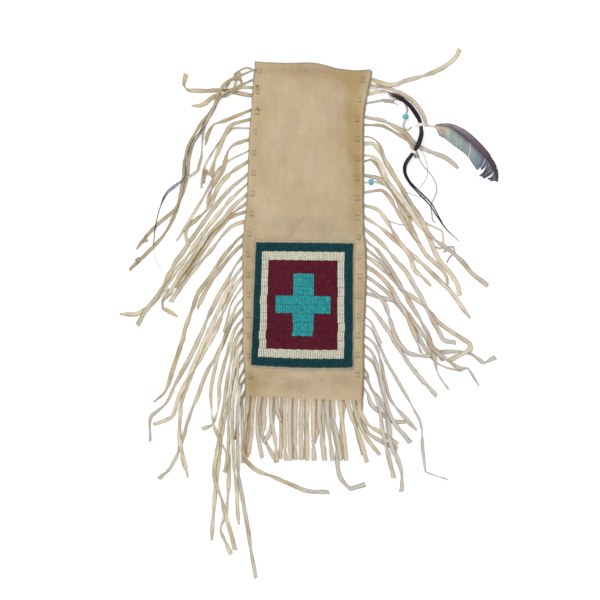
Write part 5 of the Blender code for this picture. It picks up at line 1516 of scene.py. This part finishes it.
def bead_material(name, dark, light):
    """Opaque glass seed beads, each a little different."""
    look = Look(name, 0.3, specular=0.2)
    return look.finish(look.mix(look.attribute("tone"), colour4(dark), colour4(light)))


def hair_material():
    look = Look("horsehair", 0.36)
    colour = look.mix(look.attribute("tone"), (0.004, 0.004, 0.008, 1), (0.018, 0.016, 0.026, 1))
    return look.finish(look.mix(look.attribute("root"), colour, (0.27, 0.12, 0.055, 1)))


def thread_material(name, colour, shade):
    look = Look(name, 0.8, specular=0.25)
    fibre = look.noise(look.place(), 700, 2)
    return look.finish(look.mix(fibre, colour4(colour), colour4(shade)), fibre, 0.3, 0.0003)


def pony_material():
    look = Look("pony_bead", 0.14, coat=0.3)
    cloud = look.noise(look.place(), 160, 2)
    return look.finish(look.mix(cloud, (0.05, 0.36, 0.44, 1), (0.13, 0.52, 0.60, 1)))


def feather_material():
    look = Look("feather", 0.55, specular=0.35, sheen=0.15)
    tint = look.attribute("tint", "Color")
    cloud = look.spread(look.noise(look.place(), 120, 4), 0.35, 0.65)
    darker = look.mix(0.5, tint, (0.12, 0.10, 0.14, 1))
    return look.finish(look.mix(look.spread(cloud, 0.0, 1.0, 0.0, 0.45), tint, darker))


def quill_material():
    """Dark blue quill, pale in the middle where it is split open."""
    look = Look("dyed_quill", 0.42, specular=0.45)
    place = look.place()
    grain = look.spread(look.noise(place, 260, 4), 0.3, 0.7)
    middle = look.mix(grain, (0.20, 0.18, 0.30, 1), (0.52, 0.48, 0.62, 1))
    along = look.node("ShaderNodeSeparateXYZ", {"Vector": place}, "Y")
    pale = look.product(look.spread(along, 0.040, 0.047), look.spread(along, 0.068, 0.061))
    pale = look.product(pale, look.spread(look.attribute("edge"), 0.4, 0.0))
    return look.finish(look.mix(pale, (0.022, 0.022, 0.05, 1), middle), grain, 0.3, 0.0004)


# Camera, light and floor

def stage_camera():
    data = bpy.data.cameras.new("camera")
    data.sensor_width = SENSOR
    data.lens = SENSOR * CAMERA_HEIGHT / FRAME_WIDTH
    data.clip_end = 20
    camera = bpy.data.objects.new("camera", data)
    camera.location = Vector((*CENTRE, CAMERA_HEIGHT)) * MM
    bpy.context.scene.collection.objects.link(camera)
    bpy.context.scene.camera = camera


def stage_light():
    world = bpy.data.worlds.new("world")
    bpy.context.scene.world = world
    world.use_nodes = True
    background = world.node_tree.nodes["Background"]
    background.inputs["Color"].default_value = (1, 1, 1, 1)
    background.inputs["Strength"].default_value = SKY_STRENGTH
    for name, place, size, power in LAMPS:
        lamp = bpy.data.lights.new(name, "AREA")
        lamp.size = size
        lamp.energy = power
        holder = bpy.data.objects.new(name, lamp)
        holder.location = place
        aim = Vector(LAMP_AIM) - Vector(place)
        holder.rotation_euler = aim.to_track_quat("-Z", "Y").to_euler()
        bpy.context.scene.collection.objects.link(holder)


def stage_floor():
    """A plain floor that takes shadows, and shows white to the camera and in reflections."""
    look = Look("floor", 0.9, specular=0.1)
    look.fill(look.shader, {"Base Color": FLOOR_COLOUR})
    glow = look.node("ShaderNodeEmission", {"Strength": FLOOR_GLOW}, 0)
    nothing = look.node("ShaderNodeEmission", {"Strength": 0.0}, 0)
    seen = look.node("ShaderNodeLightPath", {}, "Is Camera Ray")
    for ray in ("Is Glossy Ray", "Is Transmission Ray"):
        seen = look.sum(seen, look.node("ShaderNodeLightPath", {}, ray), "MAXIMUM")
    choice = look.node("ShaderNodeMixShader", {0: seen, 1: nothing, 2: glow}, 0)
    both = look.node("ShaderNodeAddShader", {0: look.shader.outputs[0], 1: choice}, 0)
    look.fill(look.tree.nodes["Material Output"], {"Surface": both})
    mesh = bpy.data.meshes.new("floor")
    corners = [(x * FLOOR_HALF, y * FLOOR_HALF, 0) for x, y in ((-1, -1), (1, -1), (1, 1), (-1, 1))]
    mesh.from_pydata(corners, [], [(0, 1, 2, 3)])
    mesh.materials.append(look.material)
    floor = bpy.data.objects.new("floor", mesh)
    floor.location = (0, 0, -FLOOR_DROP)
    bpy.context.scene.collection.objects.link(floor)


def main():
    bpy.context.scene.view_settings.view_transform = "Standard"
    stage_camera()
    stage_light()
    stage_floor()
    hide = hide_material("hide", HIDE_MARKS)
    hide_back = hide_material("hide_back", HIDE_MARKS)
    thong = hide_material("thong", THONG_MARKS)
    white = thread_material("white_thread", (0.95, 0.94, 0.90), (0.80, 0.79, 0.74))
    loose = thread_material("grey_thread", (0.42, 0.43, 0.38), (0.30, 0.30, 0.27))
    beads = {field: bead_material(*look) for field, look in BEADS.items()}
    back = panel_piece("back_panel", BACK_STRANDS, back_over, BACK_ROWS, hide_back, 21, shift=BACK_SHIFT,
                       drop=BACK_MOUTH_DROP)
    legs = [(side, number, leg) for side in (-1, 1) for number in range(THONGS_PER_SIDE) for leg in (-1, 1)]
    front = panel_piece("front_panel", FRONT_STRANDS, front_over, FRONT_ROWS, hide, 22, legs)
    for side, tables in ((-1, LEFT_TAILS), (1, RIGHT_TAILS)):
        for number, tails in enumerate(tables):
            lacing_thong(side, number, tails, thong)
    backing = bead_backing(hide)
    fields = bead_work(beads)
    spare, _ = laid_strip("spare_thong", SPARE_THONG, THONG_WIDTH, THONG_THICK, thong, 31, slim=0.62)
    laid_strip("blue_quill", BLUE_QUILL, QUILL_WIDTH, QUILL_THICK, quill_material(), 32, slim=1.0,
               shares=QUILL_SHARES)
    bead_strip, route = laid_strip("bead_thong", BEAD_THONG, BEAD_THONG_WIDTH, THONG_THICK, thong, 33)
    pony = pony_material()
    pony_bead("pony_bead_upper", route, UPPER_BEAD_AT, pony)
    number = LOWER_BEAD_THONG - 1
    _, _, tail = laid_tail(1, number, -1, RIGHT_TAILS[number][1])
    pony_bead("pony_bead_lower", tail, LOWER_BEAD_AT, pony)
    hair = hair_lock(hair_material())
    for name, at, ends in HAIR_TIES:
        hair_tie(name, at, hair, white, ends)
    feather(feather_material())
    for name, diameter, points in THREADS:
        thread(name, diameter, points, loose)


main()
